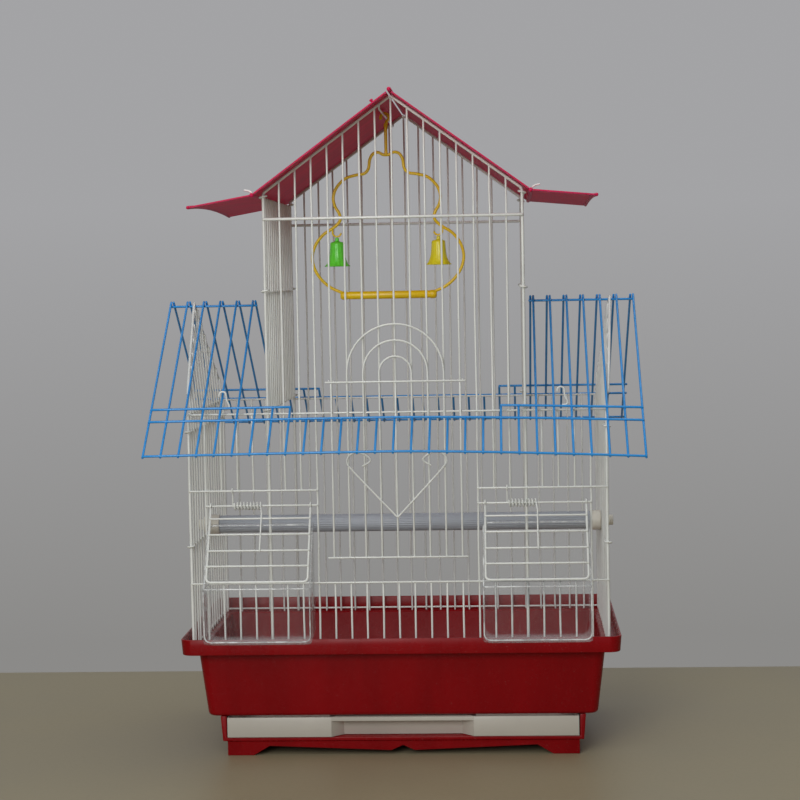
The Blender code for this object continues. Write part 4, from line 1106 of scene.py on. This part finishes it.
def build_door():
    """The sliding door: nested arches, a bent heart, and the guides on two tower bars."""
    y = door_plane()
    rail_y = y - 2 * BITE * WIRE
    low, high = DOOR_Z
    runs = [upright(i * PITCH, y, low - OVERSHOOT, high + OVERSHOOT, WIRE, DOOR_Z)
            for i in (-DOOR_BARS, 0, DOOR_BARS)]
    spring = high + ARCH_UP
    for index in range(1, DOOR_BARS):
        radius = index * PITCH
        points = [(-radius, y, low - OVERSHOOT)]
        steps = ARCH_STEPS[0] + ARCH_STEPS[1] * index
        for step in range(steps + 1):
            angle = math.pi * (1 - step / steps)
            points.append((radius * math.cos(angle), y, spring + radius * math.sin(angle)))
        points.append((radius, y, low - OVERSHOOT))
        runs.append(domed(points, WIRE))
    runs += [level_bar(-DOOR_BAR, DOOR_BAR, rail_y, z) for z in DOOR_Z]
    half, rise = HEART_TIP
    left = [(-x, rail_y, z) for x, z in reversed(HEART)]
    tip = [(-half, rail_y, HEART_FOOT + rise), (0.0, rail_y, HEART_FOOT),
           (half, rail_y, HEART_FOOT + rise)]
    right = [(x, rail_y, z) for x, z in HEART]
    runs.append(domed(flowing(left + tip + right, steps=5), HEART_WIRE))
    eye = WIRE + RUN + EYE_WIRE
    for side in (-1, 1):
        x = side * DOOR_BARS * PITCH
        turn = []
        for step in range(GUIDE_STEPS + 1):
            angle = math.radians(-90 + GUIDE_TURN * step / GUIDE_STEPS)
            turn.append((x - side * eye * math.cos(angle), -HALF_DEPTH + eye * math.sin(angle),
                         high + GUIDE_RISE * step / GUIDE_STEPS))
        start = [(x, rail_y + off, high) for off in GUIDE_START]
        runs.append(domed(start + turn, EYE_WIRE))
    declare(round_wires("door_wires", runs), "white_wire", BODY["sliding_door"], "sliding_door")


def flap_point(share, lift, x):
    """A point on a feeder flap, from its rod at share 0 to its foot at share 1."""
    along = FLAP_LENGTH * share
    return Vector((x, -HALF_DEPTH - RAIL_OFF - along * math.sin(FLAP_LEAN)
                   - lift * math.cos(FLAP_LEAN),
                   Z_FEED_ROD - along * math.cos(FLAP_LEAN) + lift * math.sin(FLAP_LEAN)))


def build_feeder_flaps():
    """The wire flaps that press on the cups, with eyes round their rods, and the springs."""
    eye = WIRE + RUN + EYE_WIRE
    rod_y = -HALF_DEPTH - RAIL_OFF
    for side, sign in (("left", -1), ("right", 1)):
        centre = sign * FEEDER_X
        left, right = centre - FLAP_HALF, centre + FLAP_HALF
        outline = [flap_point(eye / FLAP_LENGTH, 0, left), flap_point(1, 0, left),
                   flap_point(1, 0, right), flap_point(eye / FLAP_LENGTH, 0, right)]
        runs = [domed(bent(outline, FLAP_BEND, steps=6), FLAP_WIRE)]
        for share in FLAP_BARS:
            ends = [flap_point(share, FLAP_LIFT, x) for x in (left - OVERSHOOT, right + OVERSHOOT)]
            welds = [flap_point(share, FLAP_LIFT, x) for x in (left, right)]
            runs.append(straight_bar(*ends, WIRE, welds))
        turns = [FLAP_EYE_TURN * step / FLAP_EYE_STEPS for step in range(FLAP_EYE_STEPS + 1)]
        for x in (left, right):
            runs.append(domed([(x, rod_y + eye * c, Z_FEED_ROD + eye * s)
                               for c, s in circle(turns, math.radians(-90) - FLAP_LEAN)],
                              EYE_WIRE))
        node = "feeder_flap_" + side
        declare(round_wires("flap_wires_" + side, runs), "white_wire", BODY[node], node)
        node = "feeder_spring_" + side
        coil = round_wires("flap_coil_" + side, [domed(spring_points(centre), SPRING_WIRE)])
        declare(coil, "spring_wire", BODY[node], node)
        declare(round_wires("spring_hook_" + side, [spring_hook(centre)]), "spring_wire",
                BODY["front_panel"])


def spring_hook(centre):
    """The spring's short leg, from behind the rod up to a curl over the upper rail."""
    x = centre - SPRING_TURNS * SPRING_PITCH - SPRING_HOOK_ASIDE
    y = -HALF_DEPTH - RAIL_OFF
    reach = WIRE + RUN + SPRING_WIRE
    points = [(x, y + reach, Z_FEED_ROD - SPRING_HOOK_DROP), (x, y + reach, Z_FEED_RAIL)]
    points += [(x, y + reach * c, Z_FEED_RAIL + reach * s) for c, s in circle(SPRING_HOOK_CURL)]
    return domed(points, SPRING_WIRE)


def spring_points(centre):
    """A coil round the feeder rod, with a leg that lies on the flap's middle bars."""
    y0, z0 = flap_point(0, 0, 0).yz
    radius = WIRE + RUN + SPRING_WIRE + SPRING_PLAY
    end_turn = math.radians(90) - FLAP_LEAN
    count = SPRING_TURNS * SPRING_POINTS
    points = []
    for step in range(count + 1):
        angle = math.tau * step / SPRING_POINTS - end_turn + math.pi
        x = centre + SPRING_PITCH * (step - count) / SPRING_POINTS
        points.append((x, y0 + radius * math.cos(angle), z0 + radius * math.sin(angle)))
    x = centre + SPRING_LEG_X
    return points + [flap_point(share, SPRING_LEG_LIFT, x) for share in SPRING_LEG]


def hood_y(z):
    """Where the inside of a cup's hood is, which leans like the flap in front of it."""
    lift = -(FLAP_WIRE + RUN + CUP_WALL - CUP_BEAD)
    top, foot = flap_point(0, lift, 0), flap_point(1, lift, 0)
    return top.y + (foot.y - top.y) * (top.z - z) / (top.z - foot.z)


def build_cups(look):
    """The clear hooded feeder cups, with pale lines where their walls meet: partly thicker plastic,
    partly painted highlight.
    """
    for side, sign in (("left", -1), ("right", 1)):
        node = "feeder_cup_" + side
        cup = declare(rounded_copy("clear_cup_" + side, node, look.cup_edge), "clear_plastic",
                      BODY[node], node)
        inset = CUP_WALL - CUP_BEAD
        left = sign * FEEDER_X - CUP_HALF + inset
        right = sign * FEEDER_X + CUP_HALF - inset
        top, shelf, low = CUP_TOP - inset, CUP_SHELF - inset, CUP_FOOT + inset
        front, back = -CUP_FRONT + inset, -CUP_BACK - inset
        hood = [(left, hood_y(shelf), shelf), (left, hood_y(top), top),
                (right, hood_y(top), top), (right, hood_y(shelf), shelf)]
        rim = [(left, back, shelf), (left, front, shelf), (right, front, shelf),
               (right, back, shelf)]
        under = (front + CUP_UNDER, low + CUP_UNDER)
        face = [(left, front, shelf - CUP_RIM_BEND), (left, *under), (right, *under),
                (right, front, shelf - CUP_RIM_BEND)]
        runs = [domed(bent(line, bend, steps), CUP_BEAD) for line, bend, steps in
                ((hood, CUP_BEND, 8), (rim, CUP_RIM_BEND, 4), (face, CUP_BEND, 8))]
        lines = declare(round_wires("cup_lines_" + side, runs), "cup_lines", BODY[node])
        for item in (cup, lines):        # their many clear layers would shut out all light
            item.visible_shadow = False


def build_perch():
    """The ribbed perch and its two end caps."""
    half = HOUSE_HALF - WIRE - GAP - CAP_LENGTH - GAP
    rings = []
    for x, share in ((-half, PERCH_END), (-half + PERCH_CHAMFER, 1.0),
                     (half - PERCH_CHAMFER, 1.0), (half, PERCH_END)):
        ring = []
        for k in range(PERCH_SIDES):
            angle = math.tau * k / PERCH_SIDES
            dip = PERCH_GROOVE * (1 - math.cos(PERCH_RIBS * angle)) / 2
            radius = PERCH_R * share * (1 - dip)
            ring.append((x, radius * math.cos(angle), PERCH_Z + radius * math.sin(angle)))
        rings.append(ring)
    bm = bmesh.new()
    add_loft(bm, rings)
    perch = from_bmesh("ribbed_perch", bm, PERCH_SMOOTH)
    declare(perch, "perch_plastic", BODY["perch_rod"], "perch_rod")
    for node in ("perch_cap_left", "perch_cap_right"):
        declare(rounded_copy(node + "_moulding", node, CAP_EDGE, CAP_ROUNDED_FROM),
                "cream_plastic", BODY[node], node)


def build_swing():
    """The rail under the roof, and the swing with its bar, hook and curls for the bells."""
    reach = HALF_DEPTH - GABLE_WIRE - GAP - WIRE
    up = gable_z(RAIL_X) + RAIL_PAST
    rail = bent([(RAIL_X, -reach, up), (RAIL_X, -reach, RAIL_Z), (RAIL_X, reach, RAIL_Z),
                 (RAIL_X, reach, up)], RAIL_BEND)
    declare(round_wires("swing_rail_wire", [domed(rail, WIRE)]), "white_wire",
            BODY["swing_rail"], "swing_rail")
    x0, y0 = SWING_AT
    left = [(x0 - x, y0, z) for x, z in SWING_HALF]
    right = [(x0 + x, y0, z) for x, z in reversed(SWING_HALF)]
    runs = [domed(flowing(left + right, steps=5), SWING_WIRE)]
    centre = RAIL_Z + WIRE + GAP + SWING_WIRE - HOOK_R
    foot = SWING_HALF[-1][1] - HOOK_IN
    hook = [((x0, y0, foot + rise), SWING_WIRE * share) for rise, share in HOOK_FOOT]
    hook += [((x0, y0, centre + HOOK_R * rise), SWING_WIRE * share) for rise, share in HOOK_NECK]
    hook += [((RAIL_X + HOOK_R * c, y0, centre + HOOK_R * s), SWING_WIRE * HOOK_THIN)
             for c, s in circle(HOOK_CURL)]
    runs.append(hook)
    out, lift = BELL_HOOK_FOOT
    for sign in (-1, 1):
        middle = x0 + sign * BELL_X
        curl = [(middle + sign * out, y0, BELL_PIVOT + lift)]
        curl += [(middle + sign * BELL_HOOK_R * c, y0, BELL_PIVOT + BELL_HOOK_R * (1 + s))
                 for c, s in circle(BELL_HOOK_CURL)]
        runs.append(domed(curl, BELL_HOOK))
    half, radius, height = SWING_BAR
    line = [((x0 - half + at, y0, height), radius * share) for at, share in SWING_BAR_END]
    line += [((x0 + half - at, y0, height), radius * share)
             for at, share in reversed(SWING_BAR_END)]
    swing = round_wires("amber_swing_frame", runs, resolution=3)
    declare(swing, "swing_plastic", BODY["swing"], "swing")
    bar = round_wires("amber_swing_bar", [line], resolution=5)
    declare(bar, "swing_plastic", BODY["swing"])


def build_bells():
    """Two fluted bells under the swing's curls."""
    x0, y0 = SWING_AT
    top_r, rim_r = BELL_R
    stud_top = -BELL_HOOK - GAP
    crown = stud_top - STUD_H
    for side, sign, slot in (("left", -1, "green_plastic"), ("right", 1, "yellow_plastic")):
        stud = [(BELL_FLATS[0], stud_top), (STUD_TOP, stud_top),
                (STUD_R, stud_top - STUD_EDGE), (STUD_R, crown + STUD_FOOT)]
        outer = stud + [(top_r * share, crown - drop) for share, drop in BELL_SHOULDER]
        for step in range(2, BELL_STEPS):
            share = step / BELL_STEPS
            flare = top_r + (rim_r - top_r) * (BELL_STRAIGHT * share
                                               + BELL_FLARE * share ** BELL_FLARE_POWER)
            outer.append((flare, crown - BELL_H * share))
        low = crown - BELL_H
        outer += [(rim_r - inset, low + rise) for inset, rise in BELL_LIP]
        hollow, first = crown - BELL_CROWN, len(stud) + len(BELL_SHOULDER) - 1
        inner = [(max(BELL_FLATS[1], r - BELL_WALL), min(z, hollow))
                 for r, z in reversed(outer[first:-2])]
        profile = outer + inner + [(BELL_FLATS[1], hollow)]

        def flutes(angle, height):
            share = min(1.0, max(0.0, (crown - BELL_FLUTE_FROM - height) / BELL_FLUTE_FADE))
            return 1 - BELL_FLUTE_DEPTH * share * (1 - math.cos(BELL_FLUTES * angle)) / 2

        place = Vector((x0 + sign * BELL_X, y0, BELL_PIVOT))
        bm = bmesh.new()
        add_loft(bm, turned_rings(profile, place, BELL_SIDES, flutes))
        node = "bell_" + side
        declare(from_bmesh(node + "_moulding", bm, BELL_SMOOTH), slot, BODY[node], node)


def build_hooks():
    """Small bent wires: two on the front blue roof, one over each crimson bend; and a peg."""
    y = -HALF_DEPTH - RAIL_OFF
    runs = []
    for x in ROOF_HOOKS:
        hook = [(x + ROOF_HOOK_START[0], y, ROOF_HOOK_START[1])]
        hook += [(x + ROOF_HOOK_AT[0] + ROOF_HOOK_R * c, y, ROOF_HOOK_AT[1] + ROOF_HOOK_R * s)
                 for c, s in circle(ROOF_HOOK_CURL)]
        hook += [(x + out, y, z) for out, z in ROOF_HOOK_LEG]
        runs.append(domed(bent(hook, ROOF_HOOK_BEND, steps=3), EYE_WIRE))
    declare(round_wires("roof_hooks", runs), "white_wire", BODY["front_panel"])
    for side, sign in (("left", -1), ("right", 1)):
        start = Vector((sign * (BEND_X + BEND_HOOK_OUT), BEND_HOOK_Y,
                        roof_line(BEND_X) + ROD + BEND_HOOK_UP))
        points = [start] + [start + Vector((sign * out, 0, up)) for out, up in BEND_HOOK]
        wire = domed(flowing(points, steps=3), EYE_WIRE)
        declare(round_wires("bend_hook_" + side, [wire]), "white_wire",
                BODY["roof_flare_" + side])
    slope = math.atan(GABLE_SLOPE)
    out, y = PEG_AT
    foot = Vector((-out, y, roof_line(out) + PEG_UP))
    up = Vector((-math.sin(slope), 0, math.cos(slope)))
    peg = [(foot + up * rise, radius) for rise, radius in PEG]
    declare(round_wires("crimson_peg", [peg], resolution=3), "crimson_plastic",
            BODY["roof_slope_left"])


def build_stage(look):
    """The floor, the grey background with painted shade towards its foot, the lights and the
    camera.
    """
    scene = bpy.context.scene
    floor = Shader("pale_floor", 0.42)
    speckle = floor.noise(220.0, 3.0).between(0.45, 0.7)
    cloud = floor.noise(3.0, 4.0)
    base = floor.mix(cloud.between(0.3, 0.7), linear(look.floor, 0.93), linear(look.floor, 1.05))
    floor.set(floor.shader, {
        "Base Color": floor.mix(speckle * 0.18, base, linear(look.floor, 0.78)),
        "Roughness": cloud * 0.2 + 0.34,
        "Normal": floor.bump(floor.noise(140.0, 3.0), 0.15, 0.0004)})
    bm = bmesh.new()
    reach, end = STAGE_REACH, WALL_FOOT_Y
    corners = [(-reach, -reach, 0), (reach, -reach, 0), (reach, end, 0), (-reach, end, 0)]
    bm.faces.new([bm.verts.new(corner) for corner in corners])
    ground = from_bmesh("stage_floor", bm)
    ground.data.materials.append(floor.material)

    world = bpy.data.worlds.new("plain_background")
    world.use_nodes = True
    nodes, links = world.node_tree.nodes, world.node_tree.links
    direction, split = nodes.new("ShaderNodeTexCoord"), nodes.new("ShaderNodeSeparateXYZ")
    height, grey = nodes.new("ShaderNodeMapRange"), nodes.new("ShaderNodeMix")
    height.inputs["From Min"].default_value = WALL_SHADE_FADE[0]
    height.inputs["From Max"].default_value = WALL_SHADE_FADE[1]
    grey.data_type = "RGBA"
    # The background darkens from its full tone to its foot: painted shade, where less light falls
    grey.inputs[6].default_value = linear(look.wall_foot_shade)
    grey.inputs[7].default_value = linear(look.wall)
    background = nodes["Background"]
    links.new(direction.outputs["Generated"], split.inputs[0])
    links.new(split.outputs["Z"], height.inputs["Value"])
    links.new(height.outputs["Result"], grey.inputs[0])
    links.new(grey.outputs[2], background.inputs["Color"])
    ambient = nodes.new("ShaderNodeBackground")
    ambient.inputs["Color"].default_value = AMBIENT
    ambient.inputs["Strength"].default_value = look.ambient
    paths, blend = nodes.new("ShaderNodeLightPath"), nodes.new("ShaderNodeMixShader")
    links.new(paths.outputs["Is Diffuse Ray"], blend.inputs[0])
    links.new(background.outputs[0], blend.inputs[1])
    links.new(ambient.outputs[0], blend.inputs[2])
    links.new(blend.outputs[0], nodes["World Output"].inputs["Surface"])
    scene.world = world

    for name, (place, size) in LIGHTS.items():
        light = bpy.data.lights.new(name + "_light", "AREA")
        light.size = size
        light.energy = getattr(look, name + "_power")
        lamp = bpy.data.objects.new(name + "_light", light)
        scene.collection.objects.link(lamp)
        lamp.location = place
        aim = Vector(LIGHTS_AIM) - Vector(place)
        lamp.rotation_euler = aim.to_track_quat("-Z", "Y").to_euler()

    data = bpy.data.cameras.new("photo_camera")
    data.lens, data.sensor_width = CAMERA_LENS, SENSOR_WIDTH
    camera = bpy.data.objects.new("photo_camera", data)
    scene.collection.objects.link(camera)
    forward = Vector((-math.sin(CAMERA_YAW) * math.cos(CAMERA_PITCH),
                      math.cos(CAMERA_YAW) * math.cos(CAMERA_PITCH), math.sin(CAMERA_PITCH)))
    level = Vector((math.cos(CAMERA_YAW), math.sin(CAMERA_YAW), 0.0))
    above = level.cross(forward)
    right = math.cos(CAMERA_ROLL) * level + math.sin(CAMERA_ROLL) * above
    up = -math.sin(CAMERA_ROLL) * level + math.cos(CAMERA_ROLL) * above
    turn = Matrix((right, up, -forward)).transposed()
    camera.matrix_world = Matrix.Translation(CAMERA_AT) @ turn.to_4x4()
    scene.camera = camera
    scene.view_settings.view_transform = "Standard"


def colour(name, description, *channels):
    return FloatVectorProperty(name=name, description=description, subtype="COLOR", size=3,
                               min=0.0, max=1.0, default=channels)


def length(name, description, default):
    return FloatProperty(name=name, description=description, default=default, min=0.0,
                         unit="LENGTH", subtype="DISTANCE", precision=5)


def power(name, description, default):
    return FloatProperty(name=name, description=description, default=default, min=0.0,
                         unit="POWER")


class BirdCageProperties(bpy.types.PropertyGroup):
    """The cage's sizes and colours that can be changed before it is built"""

    plastic_edge: length("Plastic edge", "Rounding of the frame's and the tray's edges", 0.0008)
    cup_edge: length("Cup edge", "Rounding of the clear cups' edges", 0.0008)
    white: colour("White coat", "Colour of the white wires", 0.85, 0.87, 0.835)
    blue: colour("Blue coat", "Colour of the wire roofs", 0.014, 0.310, 0.800)
    red: colour("Red", "Colour of the tub and its frame", 0.25, 0.0026, 0.005)
    crimson: colour("Crimson", "Colour of the upper roof", 0.58, 0.015, 0.095)
    tray: colour("Tray", "Colour of the droppings tray", 0.53, 0.50, 0.44)
    caps: colour("Caps", "Colour of the perch's end caps", 0.78, 0.75, 0.66)
    perch: colour("Perch", "Colour of the perch", 0.42, 0.45, 0.50)
    swing: colour("Swing", "Colour of the swing", 0.95, 0.62, 0.008)
    green: colour("Green", "Colour of the left bell", 0.16, 0.88, 0.060)
    yellow: colour("Yellow", "Colour of the right bell", 0.90, 0.80, 0.030)
    floor: colour("Floor", "Colour of the floor", 0.335, 0.290, 0.180)
    wall: colour("Background", "Colour behind the cage's top", 0.368, 0.368, 0.378)
    # The background's foot colour is darker as painted shade, where less light falls
    wall_foot_shade: colour("Background foot", "Colour behind the cage's foot", 0.258, 0.254, 0.247)
    key_power: power("Key light", "Power of the light high at the front left", 4.6)
    front_power: power("Front light", "Power of the low light at the front", 23.0)
    top_power: power("Top light", "Power of the light over the cage", 6.0)
    ambient: FloatProperty(name="Ambient", description="Strength of the light from all round",
                           default=0.14, min=0.0, subtype="FACTOR", soft_max=1.0)


class BIRDCAGE_OT_tub(bpy.types.Operator):
    """Build the red tub with its raised rim"""
    bl_idname = "bird_cage.tub"
    bl_label = "Tub"

    def execute(self, context):
        build_tub()
        return {"FINISHED"}


class BIRDCAGE_OT_foot_frame(bpy.types.Operator):
    """Build the red frame that the tub stands on"""
    bl_idname = "bird_cage.foot_frame"
    bl_label = "Foot frame"

    def execute(self, context):
        build_foot_frame(context.scene.bird_cage)
        return {"FINISHED"}


class BIRDCAGE_OT_tray(bpy.types.Operator):
    """Build the white tray that slides in the foot frame"""
    bl_idname = "bird_cage.tray"
    bl_label = "Droppings tray"

    def execute(self, context):
        build_tray(context.scene.bird_cage)
        return {"FINISHED"}


class BIRDCAGE_OT_floor_grille(bpy.types.Operator):
    """Build the wire floor inside the tub"""
    bl_idname = "bird_cage.floor_grille"
    bl_label = "Floor grille"

    def execute(self, context):
        build_floor_grille()
        return {"FINISHED"}


class BIRDCAGE_OT_front(bpy.types.Operator):
    """Build the front grille round its three openings"""
    bl_idname = "bird_cage.front"
    bl_label = "Front grille"

    def execute(self, context):
        build_front_panel()
        return {"FINISHED"}


class BIRDCAGE_OT_back(bpy.types.Operator):
    """Build the back grille"""
    bl_idname = "bird_cage.back"
    bl_label = "Back grille"

    def execute(self, context):
        build_back_panel()
        return {"FINISHED"}


class BIRDCAGE_OT_sides(bpy.types.Operator):
    """Build the house's two sides and the tower's two sides"""
    bl_idname = "bird_cage.sides"
    bl_label = "Side grilles"

    def execute(self, context):
        build_side_panels()
        build_tower_sides()
        return {"FINISHED"}


class BIRDCAGE_OT_blue_roofs(bpy.types.Operator):
    """Build both blue wire roofs and their ridge wires"""
    bl_idname = "bird_cage.blue_roofs"
    bl_label = "Blue wire roofs"

    def execute(self, context):
        build_blue_roofs()
        return {"FINISHED"}


class BIRDCAGE_OT_crimson_roof(bpy.types.Operator):
    """Build the ribbed crimson roof with its eave flaps"""
    bl_idname = "bird_cage.crimson_roof"
    bl_label = "Crimson roof"

    def execute(self, context):
        build_crimson_roof()
        return {"FINISHED"}


class BIRDCAGE_OT_door(bpy.types.Operator):
    """Build the sliding door with its heart"""
    bl_idname = "bird_cage.door"
    bl_label = "Sliding door"

    def execute(self, context):
        build_door()
        return {"FINISHED"}


class BIRDCAGE_OT_feeders(bpy.types.Operator):
    """Build both clear cups, their wire flaps and the springs"""
    bl_idname = "bird_cage.feeders"
    bl_label = "Feeders"

    def execute(self, context):
        build_feeder_flaps()
        build_cups(context.scene.bird_cage)
        return {"FINISHED"}


class BIRDCAGE_OT_perch(bpy.types.Operator):
    """Build the perch and its end caps"""
    bl_idname = "bird_cage.perch"
    bl_label = "Perch"

    def execute(self, context):
        build_perch()
        return {"FINISHED"}


class BIRDCAGE_OT_swing(bpy.types.Operator):
    """Build the swing, its rail and its two bells"""
    bl_idname = "bird_cage.swing"
    bl_label = "Swing and bells"

    def execute(self, context):
        build_swing()
        build_bells()
        return {"FINISHED"}


class BIRDCAGE_OT_hooks(bpy.types.Operator):
    """Build the small bent wires at the roofs"""
    bl_idname = "bird_cage.hooks"
    bl_label = "Small hooks"

    def execute(self, context):
        build_hooks()
        return {"FINISHED"}


class BIRDCAGE_OT_stage(bpy.types.Operator):
    """Build the floor, the background, the lights and the camera"""
    bl_idname = "bird_cage.stage"
    bl_label = "Stage"

    def execute(self, context):
        build_stage(context.scene.bird_cage)
        return {"FINISHED"}


PIECES = (BIRDCAGE_OT_tub, BIRDCAGE_OT_foot_frame, BIRDCAGE_OT_tray, BIRDCAGE_OT_floor_grille,
          BIRDCAGE_OT_front, BIRDCAGE_OT_back, BIRDCAGE_OT_sides, BIRDCAGE_OT_blue_roofs,
          BIRDCAGE_OT_crimson_roof, BIRDCAGE_OT_door, BIRDCAGE_OT_feeders, BIRDCAGE_OT_perch,
          BIRDCAGE_OT_swing, BIRDCAGE_OT_hooks, BIRDCAGE_OT_stage)


class BIRDCAGE_PT_panel(bpy.types.Panel):
    """Lists the cage's sizes, its colours and the pieces that can be built"""
    bl_idname = "BIRDCAGE_PT_panel"
    bl_label = "Bird cage"
    bl_space_type = "VIEW_3D"
    bl_region_type = "UI"
    bl_category = "Bird cage"

    def draw(self, context):
        look = context.scene.bird_cage
        for key in BirdCageProperties.__annotations__:
            self.layout.prop(look, key)
        for piece in PIECES:
            self.layout.operator(piece.bl_idname)


CLASSES = (BirdCageProperties, *PIECES, BIRDCAGE_PT_panel)


def register():
    for cls in CLASSES:
        bpy.utils.register_class(cls)
    bpy.types.Scene.bird_cage = PointerProperty(type=BirdCageProperties)


def unregister():
    del bpy.types.Scene.bird_cage
    for cls in reversed(CLASSES):
        bpy.utils.unregister_class(cls)


def main():
    register()
    bpy.ops.bird_cage.tub()
    bpy.ops.bird_cage.foot_frame()
    bpy.ops.bird_cage.tray()
    bpy.ops.bird_cage.floor_grille()
    bpy.ops.bird_cage.front()
    bpy.ops.bird_cage.back()
    bpy.ops.bird_cage.sides()
    bpy.ops.bird_cage.blue_roofs()
    bpy.ops.bird_cage.crimson_roof()
    bpy.ops.bird_cage.door()
    bpy.ops.bird_cage.feeders()
    bpy.ops.bird_cage.perch()
    bpy.ops.bird_cage.swing()
    bpy.ops.bird_cage.hooks()
    bpy.ops.bird_cage.stage()


if __name__ == "__main__":
    main()
